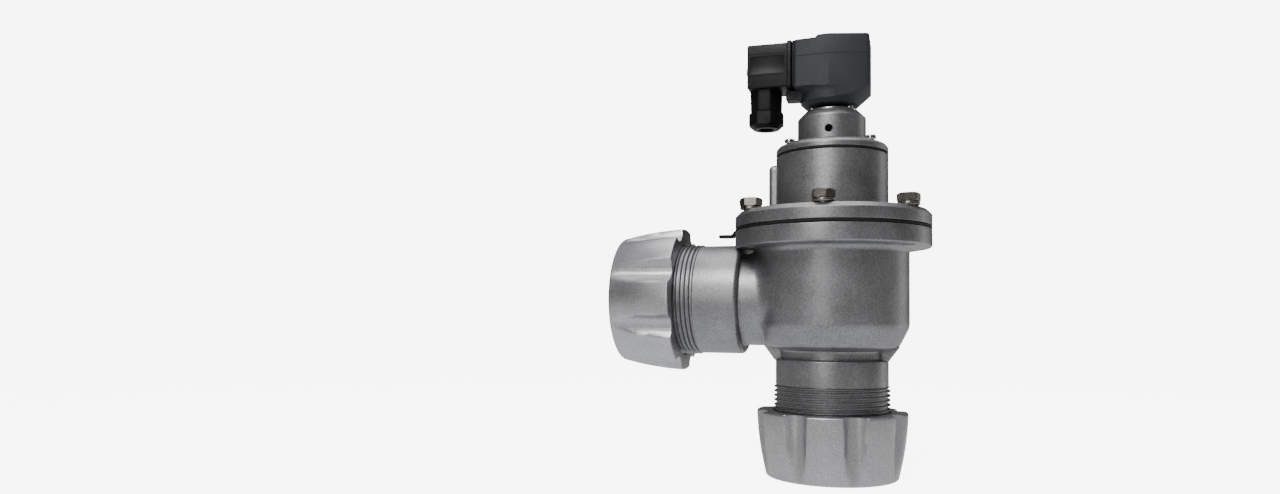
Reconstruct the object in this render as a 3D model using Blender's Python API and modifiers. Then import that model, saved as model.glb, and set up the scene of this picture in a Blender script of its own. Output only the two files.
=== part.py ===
"""Right-angle diaphragm pulse valve with compression ends and a pilot solenoid.

Metres, +Z up. The valve stands on its outlet nut, the inlet points to -X and the front is -Y.
The origin lies under the middle of the whole valve, on the plane that it stands on.
"""
import bmesh
import bpy
from math import cos, pi, radians, sin, sqrt
from mathutils import Matrix, Vector

# Clearances
SEAT_GAP = 0.0003
SLIDE_GAP = 0.0002
PIPE_PLAY = 0.0006

# How far a cutter runs past the face that it opens, and a joined shape into its neighbour
CUT_PAST = 0.002
JOIN_DEPTH = 0.002
JOIN_INSET = 0.0002

# Edges broken on turned metal, and on the small pieces
EDGE_BREAK = 0.001
SMALL_EDGE_BREAK = 0.0006

# Pipe ends: the pipe, the thread on the casting, the nut, its ring and its gasket
PIPE_DIAMETER = 0.0483
THREAD_DIAMETER = 0.0756
OUTLET_TUBE_PLAIN_LENGTH = 0.0168
INLET_THREAD_LENGTH = 0.0436
THREAD_LEAD_IN = 0.0014
TUBE_RELIEF = 0.0011
SOCKET_DEPTH = 0.040
GASKET_SEAT_WIDTH = 0.00875
GASKET_SEAT_DEPTH = 0.005
GASKET_STAND_OUT = 0.0024
RING_THICKNESS = 0.003
NUT_LENGTH = 0.043
NUT_END_RADIUS = 0.043
NUT_MOUTH_RADIUS = 0.049
NUT_BULGE = 0.0007
NUT_EDGE_ROUND = 0.0015
NUT_END_THICKNESS = 0.006
NUT_HOLE_PLAY = 0.0012
FLUTE_COUNT = 8
FLUTE_RADIUS = 0.008
FLUTE_DEPTH = 0.006

# Body casting
INLET_REACH = 0.143
INLET_BELOW_FACE = 0.0452
BODY_HEIGHT = 0.1617
BODY_FLANGE_DIAMETER = 0.128
BODY_FLANGE_THICKNESS = 0.0114
BODY_FLANGE_CHAMFER = 0.0009
FLANGE_OVERHANG = 0.0141
BOWL_DEPTH = 0.0762
BOWL_WALL = 0.005
BOWL_FILLET = 0.0036
BOWL_SHOULDER_RISE = 0.013
BOWL_FLOOR_WIDTH = 0.0103
FLOOR_THICKNESS = 0.006
OUTLET_NECK_LENGTH = 0.0087
OUTLET_NECK_RADIUS = 0.0338
OUTLET_NECK_DISH = 0.002
OUTLET_TUBE_CHAMFER = 0.001
GUSSET_WIDTH = 0.018
GUSSET_ROOT_DEPTH = 0.003
INLET_NECK_RADIUS = 0.0312
INLET_NECK_LENGTH = 0.0079
INLET_COLLAR_RADIUS = 0.0370
INLET_COLLAR_CHAMFER = 0.0015
PASSAGE_RADIUS = 0.0225
SEAT_TUBE_WALL = 0.0055
SEAT_LIP_WIDTH = 0.0025
SEAT_LIP_HEIGHT = 0.0015

# Flange bolts
BOLT_COUNT = 6
BOLT_DIAMETER = 0.008
BOLT_HEAD_ACROSS_FLATS = 0.013
BOLT_HEAD_HEIGHT = 0.0053
SPRING_WASHER_THICKNESS = 0.002
SPRING_WASHER_RADIUS = 0.0070
BOLT_END_ABOVE_UNDERSIDE = 0.0005

# Main diaphragm
DIAPHRAGM_THICKNESS = 0.0018
DIAPHRAGM_ROLL_DEPTH = 0.0022
ROLL_FROM_WALL = 0.0015
ROLL_FROM_RETAINER = 0.0035
TAB_REACH = 0.0124
TAB_WIDTH = 0.011
TAB_CORNER_LENGTH = 0.0025
TAB_CORNER_WIDTH = 0.003
TAB_THICKNESS = 0.00176
SEAT_DISC_THICKNESS = 0.003
RETAINER_RADIUS = 0.0265
RETAINER_THICKNESS = 0.003
RETAINER_BOSS_RADIUS = 0.011
RETAINER_BOSS_HEIGHT = 0.003
MAIN_LIFT = 0.009
MAIN_RIVET_RADIUS = 0.003
MAIN_RIVET_HEAD_RADIUS = 0.0065
MAIN_RIVET_HEAD_HEIGHT = 0.002
MAIN_SPRING_RADIUS = 0.0155
MAIN_SPRING_WIRE = 0.0018
MAIN_SPRING_TURNS = 4.5

# Cover
COVER_FLANGE_THICKNESS = 0.0102
COVER_FLANGE_CHAMFER = 0.003
COVER_RECESS_DEPTH = 0.0071
COVER_DIAMETER = 0.0733
COVER_CYLINDER_HEIGHT = 0.0372
COVER_WALL = 0.0045
COVER_FILLET = 0.002
MAIN_CHAMBER_HEIGHT = 0.0249
COVER_DECK_THICKNESS = 0.004
NOZZLE_BORE_RADIUS = 0.0085
NOZZLE_WALL = 0.003
NOZZLE_EDGE_BREAK = 0.0012
SUPPLY_RIB_WIDTH = 0.011
SUPPLY_RIB_STAND_OUT = 0.0049
SUPPLY_RIB_DROP = 0.004
SUPPLY_RIB_ROUND = 0.0022
EXHAUST_PORT_RADIUS = 0.0065
EXHAUST_PORT_TURN = 60
PILOT_SCREW_COUNT = 3
PILOT_SCREW_CIRCLE = 0.0600
PILOT_SCREW_DIAMETER = 0.004
PILOT_SCREW_GRIP = 0.008
PILOT_SCREW_HEAD_RADIUS = 0.0035
PILOT_SCREW_HEAD_HEIGHT = 0.0024
SCREW_BOSS_RADIUS = 0.0045

# Pilot diaphragm
PILOT_DIAPHRAGM_THICKNESS = 0.0012
PILOT_SEAT_DISC_THICKNESS = 0.0025
PILOT_SEAT_DISC_RADIUS = 0.0130
PILOT_RETAINER_RADIUS = 0.0140
PILOT_RETAINER_THICKNESS = 0.002
PILOT_RIVET_RADIUS = 0.0016
PILOT_RIVET_HEAD_RADIUS = 0.0038
PILOT_RIVET_HEAD_HEIGHT = 0.0013
PILOT_LIFT = 0.0045
PILOT_SPRING_WIRE = 0.0009
PILOT_SPRING_TURNS = 3.0

# Pilot cover
PILOT_FLANGE_THICKNESS = 0.0066
PILOT_FLANGE_BEVEL = 0.0055
PILOT_FLANGE_EDGE = 0.003
PILOT_BLOCK_RADIUS = 0.0224
PILOT_BLOCK_HEIGHT = 0.0211
PILOT_BLOCK_CHAMFER = 0.0040
PILOT_BLOCK_FILLET = 0.0008
PILOT_CHAMBER_RADIUS = 0.0185
PILOT_CHAMBER_FLARE = 0.0065
PLUNGER_CAVITY_RADIUS = 0.0095
PLUNGER_CAVITY_DEPTH = 0.0070
ORIFICE_RADIUS = 0.0015
ORIFICE_WALL = 0.0020
ORIFICE_HEIGHT = 0.0022
ORIFICE_LIP = 0.0006
VENT_RADIUS = 0.0025
VENT_RISER_RADIUS = 0.0015
VENT_DROP = 0.0138

# Armature stem and plunger
STEM_FLANGE_RADIUS = 0.0172
STEM_FLANGE_THICKNESS = 0.0012
STEM_TUBE_RADIUS = 0.0065
STEM_TUBE_WALL = 0.0013
STEM_TUBE_HEIGHT = 0.0388
STEM_CAP_THICKNESS = 0.0015
STEM_CAP_EDGE_BREAK = 0.0005
CORE_LENGTH = 0.0160
STEM_SCREW_COUNT = 3
STEM_SCREW_CIRCLE = 0.0278
STEM_SCREW_DIAMETER = 0.003
STEM_SCREW_HEAD_RADIUS = 0.0025
STEM_SCREW_HEAD_HEIGHT = 0.0020
STEM_SCREW_DEPTH = 0.0045
PLUNGER_TRAVEL = 0.0022
PLUNGER_STOP_GAP = 0.0003
PLUNGER_SEAL_RADIUS = 0.0030
PLUNGER_SEAL_THICKNESS = 0.0020
PLUNGER_POCKET_DEPTH = 0.0015
PLUNGER_SPRING_BORE = 0.0026
PLUNGER_SPRING_DEPTH = 0.0110
PLUNGER_SPRING_WIRE = 0.0005
PLUNGER_SPRING_TURNS = 5.0
STEM_SEAL_THICKNESS = 0.0024
STEM_SEAL_WIDTH = 0.0034
CLIP_THICKNESS = 0.0012
CLIP_WIDTH = 0.0018
CLIP_GROOVE_DEPTH = 0.0006
CLIP_DROP = 0.0040

# Coil block
COIL_HEIGHT = 0.0442
COIL_LEFT = 0.0229
COIL_RIGHT = 0.0252
COIL_MIDDLE_HALF_DEPTH = 0.0220
COIL_LEFT_HALF_DEPTH = 0.0195
COIL_RIGHT_HALF_DEPTH = 0.0155
COIL_STEP_DEPTH = 0.0020
COIL_STEP_FROM_AXIS = 0.0070
COIL_SKIRT_HEIGHT = 0.0111
COIL_SKIRT_RADIUS = 0.0205
COIL_SKIRT_CHAMFER = 0.0030
COIL_EDGE_ROUND = 0.0012
COIL_CHEEK_START = 0.004
COIL_CHEEK_OVERLAP = 0.003
COIL_RIB_WIDTH = 0.018
COIL_RIB_LIFT = 0.0062
COIL_LUG_REACH = 0.0072
COIL_LUG_WIDTH = 0.012
COIL_LUG_LIFT = 0.0057

# Plug connector
PLUG_CENTRE_BELOW_COIL_TOP = 0.0162
PLUG_BLOCK_WIDTH = 0.0271
PLUG_BLOCK_HEIGHT = 0.0298
PLUG_BLOCK_LENGTH = 0.0269
PLUG_FLANGE_SIZE = 0.0312
PLUG_FLANGE_THICKNESS = 0.0032
PLUG_GASKET_THICKNESS = 0.0015
PLUG_GASKET_RIM = 0.004
PLUG_WALL = 0.0022
PLUG_EDGE_ROUND = 0.0008
PLUG_CHAMFER = 0.0022
PANEL_MARGIN = 0.0035
PANEL_DEPTH = 0.0006
INSERT_LENGTH = 0.0190
BLADE_LENGTH = 0.0120
BLADE_WIDTH = 0.0063
BLADE_THICKNESS = 0.0008
BLADE_SPREAD = 0.0068
PLUG_SCREW_DIAMETER = 0.003
PLUG_SCREW_HEAD_RADIUS = 0.003
PLUG_SCREW_HEAD_HEIGHT = 0.0022
PLUG_SCREW_GRIP = 0.004

# Cable gland under the plug
GLAND_FROM_FLANGE = 0.0158
GLAND_NECK_RADIUS = 0.0110
GLAND_NECK_LENGTH = 0.01455
GLAND_SPIGOT_RADIUS = 0.0090
GLAND_SPIGOT_LENGTH = 0.0075
GLAND_BORE_RADIUS = 0.0074
GLAND_NUT_RADIUS = 0.0116
GLAND_NUT_WALL_BELOW = 0.0022
GLAND_NUT_CHAMFER = 0.0022
GLAND_WASHER_THICKNESS = 0.001
GLAND_SEAL_LENGTH = 0.0085
CABLE_HOLE_RADIUS = 0.0052

# Roundness
BODY_SIDES = 28
PILOT_SIDES = 20
MEDIUM_SIDES = 16
SMALL_SIDES = 12
TINY_SIDES = 8
FLUTE_SIDES = 16
COIL_POINTS_PER_TURN = 8
END_TURN_FLATNESS = 0.5
SPIN_MERGE_DISTANCE = 0.00001
WELD_DISTANCE = 0.000002

# Places that follow from the sizes
FLANGE_RADIUS = BODY_FLANGE_DIAMETER / 2
AXIS_X = (INLET_REACH - FLANGE_RADIUS) / 2
BOWL_RADIUS = FLANGE_RADIUS - FLANGE_OVERHANG
BOWL_INNER_RADIUS = BOWL_RADIUS - BOWL_WALL
BOLT_CIRCLE = 2 * FLANGE_RADIUS - FLANGE_OVERHANG
PIPE_RADIUS = PIPE_DIAMETER / 2
SOCKET_RADIUS = PIPE_RADIUS + PIPE_PLAY
THREAD_RADIUS = THREAD_DIAMETER / 2
TUBE_RADIUS = THREAD_RADIUS - TUBE_RELIEF
RECESS_RADIUS = SOCKET_RADIUS + GASKET_SEAT_WIDTH
RING_START = NUT_END_THICKNESS + SEAT_GAP
GASKET_START = RING_START + RING_THICKNESS + SEAT_GAP
TUBE_END = GASKET_START + GASKET_STAND_OUT
SEAT_TUBE_RADIUS = PASSAGE_RADIUS + SEAT_TUBE_WALL
SEAT_TOP = BODY_HEIGHT - SEAT_DISC_THICKNESS - SEAT_GAP
BODY_FLANGE_UNDERSIDE = BODY_HEIGHT - BODY_FLANGE_THICKNESS
BOWL_UNDERSIDE_HEIGHT = BODY_HEIGHT - BOWL_DEPTH
BOWL_UNDERSIDE_RADIUS = SEAT_TUBE_RADIUS + BOWL_FLOOR_WIDTH + BOWL_WALL
BOWL_SHOULDER_HEIGHT = BOWL_UNDERSIDE_HEIGHT + BOWL_SHOULDER_RISE
BOWL_FLOOR = BOWL_UNDERSIDE_HEIGHT + FLOOR_THICKNESS
OUTLET_TUBE_HEIGHT = BOWL_UNDERSIDE_HEIGHT - OUTLET_NECK_LENGTH
OUTLET_THREAD_END = OUTLET_TUBE_HEIGHT - OUTLET_TUBE_PLAIN_LENGTH
INLET_HEIGHT = BODY_HEIGHT - INLET_BELOW_FACE
INLET_THREAD_END = TUBE_END + INLET_THREAD_LENGTH
INLET_COLLAR_END = INLET_REACH - BOWL_RADIUS - INLET_NECK_LENGTH
INLET_INNER_END = INLET_REACH - SEAT_TUBE_RADIUS - SEAT_TUBE_WALL
NUT_BORE_RADIUS = (THREAD_RADIUS + SEAT_GAP) / cos(pi / BODY_SIDES)

MAIN_DIAPHRAGM_Z = BODY_HEIGHT + SEAT_GAP
COVER_Z = MAIN_DIAPHRAGM_Z + DIAPHRAGM_THICKNESS + SEAT_GAP
COVER_FLANGE_TOP = COVER_Z + COVER_FLANGE_THICKNESS
COVER_RADIUS = COVER_DIAMETER / 2
COVER_TOP = COVER_FLANGE_TOP + COVER_CYLINDER_HEIGHT
CHAMBER_RADIUS = COVER_RADIUS - COVER_WALL
DECK_UNDERSIDE = COVER_Z + MAIN_CHAMBER_HEIGHT
DECK_TOP = DECK_UNDERSIDE + COVER_DECK_THICKNESS
NOZZLE_RADIUS = NOZZLE_BORE_RADIUS + NOZZLE_WALL

PILOT_DIAPHRAGM_Z = COVER_TOP + SEAT_GAP
NOZZLE_TOP = PILOT_DIAPHRAGM_Z - 2 * SEAT_GAP - PILOT_SEAT_DISC_THICKNESS
PILOT_COVER_Z = PILOT_DIAPHRAGM_Z + PILOT_DIAPHRAGM_THICKNESS + SEAT_GAP
PILOT_FLANGE_TOP = PILOT_COVER_Z + PILOT_FLANGE_THICKNESS
PILOT_TOP = PILOT_FLANGE_TOP + PILOT_BLOCK_HEIGHT
PILOT_RETAINER_TOP = PILOT_COVER_Z + PILOT_RETAINER_THICKNESS
PILOT_RIVET_TOP = PILOT_RETAINER_TOP + SEAT_GAP + PILOT_RIVET_HEAD_HEIGHT
PILOT_CEILING = PILOT_RIVET_TOP + PILOT_LIFT + 2 * SEAT_GAP
CAVITY_FLOOR = PILOT_TOP - PLUNGER_CAVITY_DEPTH
ORIFICE_TOP = CAVITY_FLOOR + ORIFICE_HEIGHT
VENT_Z = PILOT_TOP - VENT_DROP

STEM_Z = PILOT_TOP + SEAT_GAP
STEM_FLANGE_TOP = STEM_Z + STEM_FLANGE_THICKNESS
STEM_TUBE_TOP = STEM_FLANGE_TOP + STEM_TUBE_HEIGHT
STEM_BORE_RADIUS = STEM_TUBE_RADIUS - STEM_TUBE_WALL
STEM_TOP = STEM_TUBE_TOP + SEAT_GAP + STEM_CAP_THICKNESS
CORE_BOTTOM = STEM_TUBE_TOP - CORE_LENGTH
PLUNGER_TOP = CORE_BOTTOM - PLUNGER_TRAVEL - PLUNGER_STOP_GAP
PLUNGER_RADIUS = STEM_BORE_RADIUS - SLIDE_GAP
SEAL_BOTTOM = ORIFICE_TOP + SEAT_GAP
SEAL_TOP = SEAL_BOTTOM + PLUNGER_SEAL_THICKNESS
PLUNGER_BOTTOM = SEAL_TOP + SEAT_GAP - PLUNGER_POCKET_DEPTH
CLIP_Z = STEM_TUBE_TOP - CLIP_DROP

COIL_Z = STEM_FLANGE_TOP + STEM_SEAL_THICKNESS + 2 * SEAT_GAP
COIL_TOP = COIL_Z + COIL_HEIGHT
SKIRT_TOP = COIL_Z + COIL_SKIRT_HEIGHT
PLUG_Z = COIL_TOP - PLUG_CENTRE_BELOW_COIL_TOP
PLUG_GASKET_X = -COIL_LEFT - SEAT_GAP
PLUG_FACE_X = PLUG_GASKET_X - PLUG_GASKET_THICKNESS - SEAT_GAP
PLUG_BLOCK_X = PLUG_FACE_X - PLUG_FLANGE_THICKNESS
PLUG_END_X = PLUG_BLOCK_X - PLUG_BLOCK_LENGTH
PLUG_CAVITY_HALF_WIDTH = PLUG_BLOCK_WIDTH / 2 - PLUG_WALL
PLUG_CAVITY_HALF_HEIGHT = PLUG_BLOCK_HEIGHT / 2 - PLUG_WALL
PLUG_CAVITY_END_X = PLUG_END_X + PLUG_WALL
GLAND_X = PLUG_BLOCK_X - GLAND_FROM_FLANGE
GLAND_NECK_END_Z = PLUG_Z - PLUG_BLOCK_HEIGHT / 2 - GLAND_NECK_LENGTH
GLAND_SPIGOT_END_Z = GLAND_NECK_END_Z - GLAND_SPIGOT_LENGTH
GLAND_WASHER_TOP_Z = GLAND_SPIGOT_END_Z - SEAT_GAP
GLAND_WASHER_Z = GLAND_WASHER_TOP_Z - GLAND_WASHER_THICKNESS
GLAND_NUT_SEAT_Z = GLAND_WASHER_Z - SEAT_GAP
GLAND_NUT_Z = GLAND_NUT_SEAT_Z - GLAND_NUT_WALL_BELOW
GLAND_NUT_BORE = (GLAND_SPIGOT_RADIUS + SEAT_GAP) / cos(pi / SMALL_SIDES)

FINISHES = {
    "cast_metal": ((0.17, 0.17, 0.175), 0.42, 0.85),
    "nut_metal": ((0.33, 0.33, 0.34), 0.40, 0.85),
    "steel": ((0.48, 0.46, 0.42), 0.30, 1.0),
    "bright_steel": ((0.62, 0.62, 0.62), 0.22, 1.0),
    "brass": ((0.62, 0.42, 0.16), 0.30, 1.0),
    "rubber": ((0.012, 0.012, 0.012), 0.75, 0.0),
    "seal_plastic": ((0.55, 0.52, 0.45), 0.50, 0.0),
    "coil_plastic": ((0.052, 0.055, 0.064), 0.55, 0.0),
    "plug_plastic": ((0.011, 0.011, 0.012), 0.40, 0.0),
}


def clear_scene():
    for old in list(bpy.data.objects):
        bpy.data.objects.remove(old, do_unlink=True)


def add_collection(name):
    collection = bpy.data.collections.new(name)
    bpy.context.scene.collection.children.link(collection)
    return collection


clear_scene()
PARTS = add_collection("pulse_valve")
CUTTERS = add_collection("cutters")
VALVE_AXIS = bpy.data.objects.new("valve_axis", None)
VALVE_AXIS.location = (AXIS_X, 0, 0)
PARTS.objects.link(VALVE_AXIS)


def finish(node_name, kind):
    colour, roughness, metallic = FINISHES[kind]
    material = bpy.data.materials.new(f"{node_name}_{kind}")
    material.use_nodes = True
    shader = material.node_tree.nodes["Principled BSDF"]
    shader.inputs["Base Color"].default_value = (*colour, 1.0)
    shader.inputs["Roughness"].default_value = roughness
    shader.inputs["Metallic"].default_value = metallic
    return material


def add_piece(name, mesh, kind, location=(0, 0, 0), rotation=(0, 0, 0)):
    """A finished piece, or a cutter where kind is None, placed from the valve's axis."""
    piece = bpy.data.objects.new(name, mesh)
    piece.parent = VALVE_AXIS
    piece.location = location
    piece.rotation_euler = rotation
    if kind is None:
        CUTTERS.objects.link(piece)
        piece.hide_render = True
        piece.display_type = 'WIRE'
    else:
        PARTS.objects.link(piece)
        mesh.materials.clear()
        mesh.materials.append(finish(name, kind))
    return piece


def turned(name, outline, kind, sides=BODY_SIDES, location=(0, 0, 0), rotation=(0, 0, 0)):
    """Revolve an outline of (radius, height) that runs down the outer side."""
    mesh = bpy.data.meshes.new(name)
    shape = bmesh.new()
    corners = [shape.verts.new((radius, 0, height)) for radius, height in outline]
    for first, second in zip(corners, corners[1:]):
        shape.edges.new((first, second))
    touches_axis = outline[0][0] == 0 and outline[-1][0] == 0
    if not touches_axis:
        shape.edges.new((corners[-1], corners[0]))
    shape.to_mesh(mesh)
    shape.free()
    piece = add_piece(name, mesh, kind, location, rotation)
    screw = piece.modifiers.new("turn", 'SCREW')
    screw.axis = 'Z'
    screw.steps = sides
    screw.render_steps = sides
    screw.use_merge_vertices = True
    screw.merge_threshold = SPIN_MERGE_DISTANCE
    screw.use_smooth_shade = True
    return piece


def cylinder(name, radius, bottom, top, kind, sides=SMALL_SIDES, centre=(0, 0), spread=None):
    """An upright cylinder; spread is (count, circle radius, first angle) for several.

    Each turns a flat towards the middle of its circle."""
    mesh = bpy.data.meshes.new(name)
    shape = bmesh.new()
    count, circle, first_angle = spread or (1, 0.0, 0.0)
    for index in range(count):
        angle = first_angle + index * 2 * pi / count
        x = centre[0] + circle * cos(angle)
        y = centre[1] + circle * sin(angle)
        facing = Matrix.Rotation(angle + pi / sides, 4, 'Z')
        place = Matrix.Translation((x, y, (bottom + top) / 2)) @ facing
        bmesh.ops.create_cone(
            shape, cap_ends=True, segments=sides, radius1=radius, radius2=radius,
            depth=top - bottom, matrix=place)
    shape.to_mesh(mesh)
    shape.free()
    return add_piece(name, mesh, kind)


def block(name, low, high, kind, round_edges=0.0, segments=1):
    mesh = bpy.data.meshes.new(name)
    shape = bmesh.new()
    size = Vector(high) - Vector(low)
    middle = (Vector(high) + Vector(low)) / 2
    place = Matrix.Translation(middle) @ Matrix.Diagonal((*size, 1.0))
    bmesh.ops.create_cube(shape, size=1.0, matrix=place)
    shape.to_mesh(mesh)
    shape.free()
    piece = add_piece(name, mesh, kind)
    if round_edges:
        add_bevel(piece, round_edges, segments)
    return piece


def add_bevel(piece, width, segments=1):
    bevel = piece.modifiers.new("edges", 'BEVEL')
    bevel.width = width
    bevel.segments = segments
    bevel.limit_method = 'ANGLE'
    bevel.angle_limit = radians(40)


def evaluated_mesh(piece, name):
    """The mesh of a piece with its modifiers, or of a curve with its caps welded on."""
    bpy.context.view_layer.update()
    graph = bpy.context.evaluated_depsgraph_get()
    mesh = bpy.data.meshes.new_from_object(piece.evaluated_get(graph))
    mesh.name = name
    shape = bmesh.new()
    shape.from_mesh(mesh)
    bmesh.ops.remove_doubles(shape, verts=shape.verts, dist=WELD_DISTANCE)
    shape.to_mesh(mesh)
    shape.free()
    return mesh


def curve_to_piece(curve, name, kind, location=(0, 0, 0), rotation=(0, 0, 0)):
    guide = bpy.data.objects.new(f"{name}_guide", curve)
    CUTTERS.objects.link(guide)
    mesh = evaluated_mesh(guide, name)
    bpy.data.objects.remove(guide, do_unlink=True)
    return add_piece(name, mesh, kind, location, rotation)


def plate(name, outline, thickness, kind, location=(0, 0, 0), rotation=(0, 0, 0)):
    """A flat outline of (x, y) given a thickness, centred on its own plane."""
    curve = bpy.data.curves.new(name, 'CURVE')
    curve.dimensions = '2D'
    curve.fill_mode = 'BOTH'
    curve.extrude = thickness / 2
    spline = curve.splines.new('POLY')
    spline.points.add(len(outline) - 1)
    for point, (x, y) in zip(spline.points, outline):
        point.co = (x, y, 0, 1)
    spline.use_cyclic_u = True
    return curve_to_piece(curve, name, kind, location, rotation)


def coil_spring(name, wire, turns, bottom, top, bottom_radius, top_radius, roundness=2):
    """A compression spring with closed end turns, between two seats."""
    curve = bpy.data.curves.new(name, 'CURVE')
    curve.dimensions = '3D'
    curve.fill_mode = 'FULL'
    curve.bevel_depth = wire / 2
    curve.bevel_resolution = roundness
    curve.use_fill_caps = True
    count = int(turns * COIL_POINTS_PER_TURN) + 1
    spline = curve.splines.new('POLY')
    spline.points.add(count - 1)
    low = bottom + wire / 2
    rise = top - bottom - wire
    for index, point in enumerate(spline.points):
        share = index / (count - 1)
        eased = share - sin(2 * pi * share) / (2 * pi) * END_TURN_FLATNESS
        radius = bottom_radius + (top_radius - bottom_radius) * share
        angle = 2 * pi * turns * share
        point.co = (radius * cos(angle), radius * sin(angle), low + rise * eased, 1)
    return curve_to_piece(curve, name, "bright_steel")


def combine(piece, other, operation):
    change = piece.modifiers.new(other.name, 'BOOLEAN')
    change.operation = operation
    change.object = other
    change.solver = 'EXACT'


def cut(piece, *cutters):
    for cutter in cutters:
        combine(piece, cutter, 'DIFFERENCE')


def join(piece, *others):
    for other in others:
        combine(piece, other, 'UNION')


def arc(centre, radius, start_degrees, end_degrees, steps):
    """Points of an arc in the radius and height plane, both ends included."""
    points = []
    for step in range(steps + 1):
        angle = radians(start_degrees + (end_degrees - start_degrees) * step / steps)
        points.append((centre[0] + radius * cos(angle), centre[1] + radius * sin(angle)))
    return points


def bolt_angles(count):
    """Angles of a ring of fasteners with one of them at the front."""
    return [-pi / 2 + index * 2 * pi / count for index in range(count)]


def pipe_tube_outline(shoulder, shoulder_radius):
    """Mouth of a threaded pipe end, from a shoulder in the bore out to the gasket seat."""
    seat_bottom = TUBE_END + GASKET_SEAT_DEPTH
    return [
        (RECESS_RADIUS, TUBE_END),
        (RECESS_RADIUS, seat_bottom),
        (SOCKET_RADIUS, seat_bottom + GASKET_SEAT_WIDTH),
        (SOCKET_RADIUS, shoulder),
        (shoulder_radius, shoulder),
    ]


def make_valve_body():
    flange_bottom = BODY_FLANGE_UNDERSIDE
    socket_end = TUBE_END + SOCKET_DEPTH
    fillet_centre = (BOWL_RADIUS + BOWL_FILLET, flange_bottom - BOWL_FILLET)
    outer = [
        (BOWL_INNER_RADIUS, BODY_HEIGHT),
        (FLANGE_RADIUS, BODY_HEIGHT),
        (FLANGE_RADIUS, flange_bottom + BODY_FLANGE_CHAMFER),
        (FLANGE_RADIUS - BODY_FLANGE_CHAMFER, flange_bottom),
        *arc(fillet_centre, BOWL_FILLET, 90, 180, 2),
        (BOWL_RADIUS, BOWL_SHOULDER_HEIGHT),
        (BOWL_UNDERSIDE_RADIUS, BOWL_UNDERSIDE_HEIGHT),
        (OUTLET_NECK_RADIUS, BOWL_UNDERSIDE_HEIGHT - OUTLET_NECK_DISH),
        (OUTLET_NECK_RADIUS, OUTLET_TUBE_HEIGHT + OUTLET_TUBE_CHAMFER),
        (TUBE_RADIUS, OUTLET_TUBE_HEIGHT),
        (TUBE_RADIUS, OUTLET_THREAD_END + TUBE_RELIEF / 2),
        (THREAD_RADIUS, OUTLET_THREAD_END - TUBE_RELIEF / 2),
        (THREAD_RADIUS, TUBE_END + THREAD_LEAD_IN),
        (THREAD_RADIUS - THREAD_LEAD_IN, TUBE_END),
    ]
    passage = pipe_tube_outline(socket_end, PASSAGE_RADIUS)
    seat_and_bowl = [
        (PASSAGE_RADIUS, SEAT_TOP),
        (PASSAGE_RADIUS + SEAT_LIP_WIDTH, SEAT_TOP),
        (SEAT_TUBE_RADIUS, SEAT_TOP - SEAT_LIP_HEIGHT),
        (SEAT_TUBE_RADIUS, BOWL_FLOOR),
        (BOWL_UNDERSIDE_RADIUS - BOWL_WALL, BOWL_FLOOR),
        (BOWL_INNER_RADIUS, BOWL_SHOULDER_HEIGHT),
    ]
    body = turned("valve_body", outer + passage + seat_and_bowl, "cast_metal")
    join(body, make_inlet_tube(), *make_gussets())
    cut(body, make_inlet_bore(), make_bolt_holes("body_bolt_holes", flange_bottom, BODY_HEIGHT))
    return body


def inlet_place():
    """The inlet's end plane, with height along the inlet measured inwards from it."""
    return {"location": (-INLET_REACH, 0, INLET_HEIGHT), "rotation": (0, pi / 2, 0)}


def make_inlet_tube():
    outline = [
        (0, INLET_INNER_END),
        (INLET_NECK_RADIUS, INLET_INNER_END),
        (INLET_NECK_RADIUS, INLET_COLLAR_END),
        (INLET_COLLAR_RADIUS - INLET_COLLAR_CHAMFER, INLET_COLLAR_END),
        (INLET_COLLAR_RADIUS, INLET_COLLAR_END - INLET_COLLAR_CHAMFER),
        (INLET_COLLAR_RADIUS, INLET_THREAD_END + TUBE_RELIEF / 2),
        (THREAD_RADIUS, INLET_THREAD_END - TUBE_RELIEF / 2),
        (THREAD_RADIUS, TUBE_END + THREAD_LEAD_IN),
        (THREAD_RADIUS - THREAD_LEAD_IN, TUBE_END),
        (0, TUBE_END),
    ]
    tube = turned("inlet_tube", outline, None, **inlet_place())
    middle_of_wall = BOWL_RADIUS - BOWL_WALL / 2
    middle_of_floor = BOWL_UNDERSIDE_HEIGHT + FLOOR_THICKNESS / 2
    keep_clear = [
        (0, BODY_HEIGHT),
        (middle_of_wall, BODY_HEIGHT),
        (middle_of_wall, BOWL_SHOULDER_HEIGHT),
        (BOWL_UNDERSIDE_RADIUS - BOWL_WALL / 2, middle_of_floor),
        (0, middle_of_floor),
    ]
    cut(tube, turned("inlet_tube_trim", keep_clear, None))
    return tube


def make_inlet_bore():
    shoulder = TUBE_END + SOCKET_DEPTH
    mouth = pipe_tube_outline(shoulder, PASSAGE_RADIUS)
    outline = [
        (0, INLET_INNER_END),
        (PASSAGE_RADIUS, INLET_INNER_END),
        *reversed(mouth),
        (RECESS_RADIUS, TUBE_END - CUT_PAST),
        (0, TUBE_END - CUT_PAST),
    ]
    return turned("inlet_bore", outline, None, **inlet_place())


def make_gussets():
    """Cast webs that tie the outlet tube to the underside of the bowl, left and right."""
    root = OUTLET_NECK_RADIUS - GUSSET_ROOT_DEPTH
    top = BOWL_UNDERSIDE_HEIGHT + FLOOR_THICKNESS / 4
    bottom = OUTLET_TUBE_HEIGHT - OUTLET_TUBE_CHAMFER
    upper_reach = BOWL_UNDERSIDE_RADIUS - JOIN_INSET
    gussets = []
    for side, sign in (("left", -1), ("right", 1)):
        outline = [
            (sign * root, bottom),
            (sign * (TUBE_RADIUS - JOIN_INSET), bottom),
            (sign * upper_reach, BOWL_UNDERSIDE_HEIGHT),
            (sign * upper_reach, top),
            (sign * root, top),
        ]
        gussets.append(plate(f"{side}_gusset", outline, GUSSET_WIDTH, None, rotation=(pi / 2, 0, 0)))
    return gussets


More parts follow.
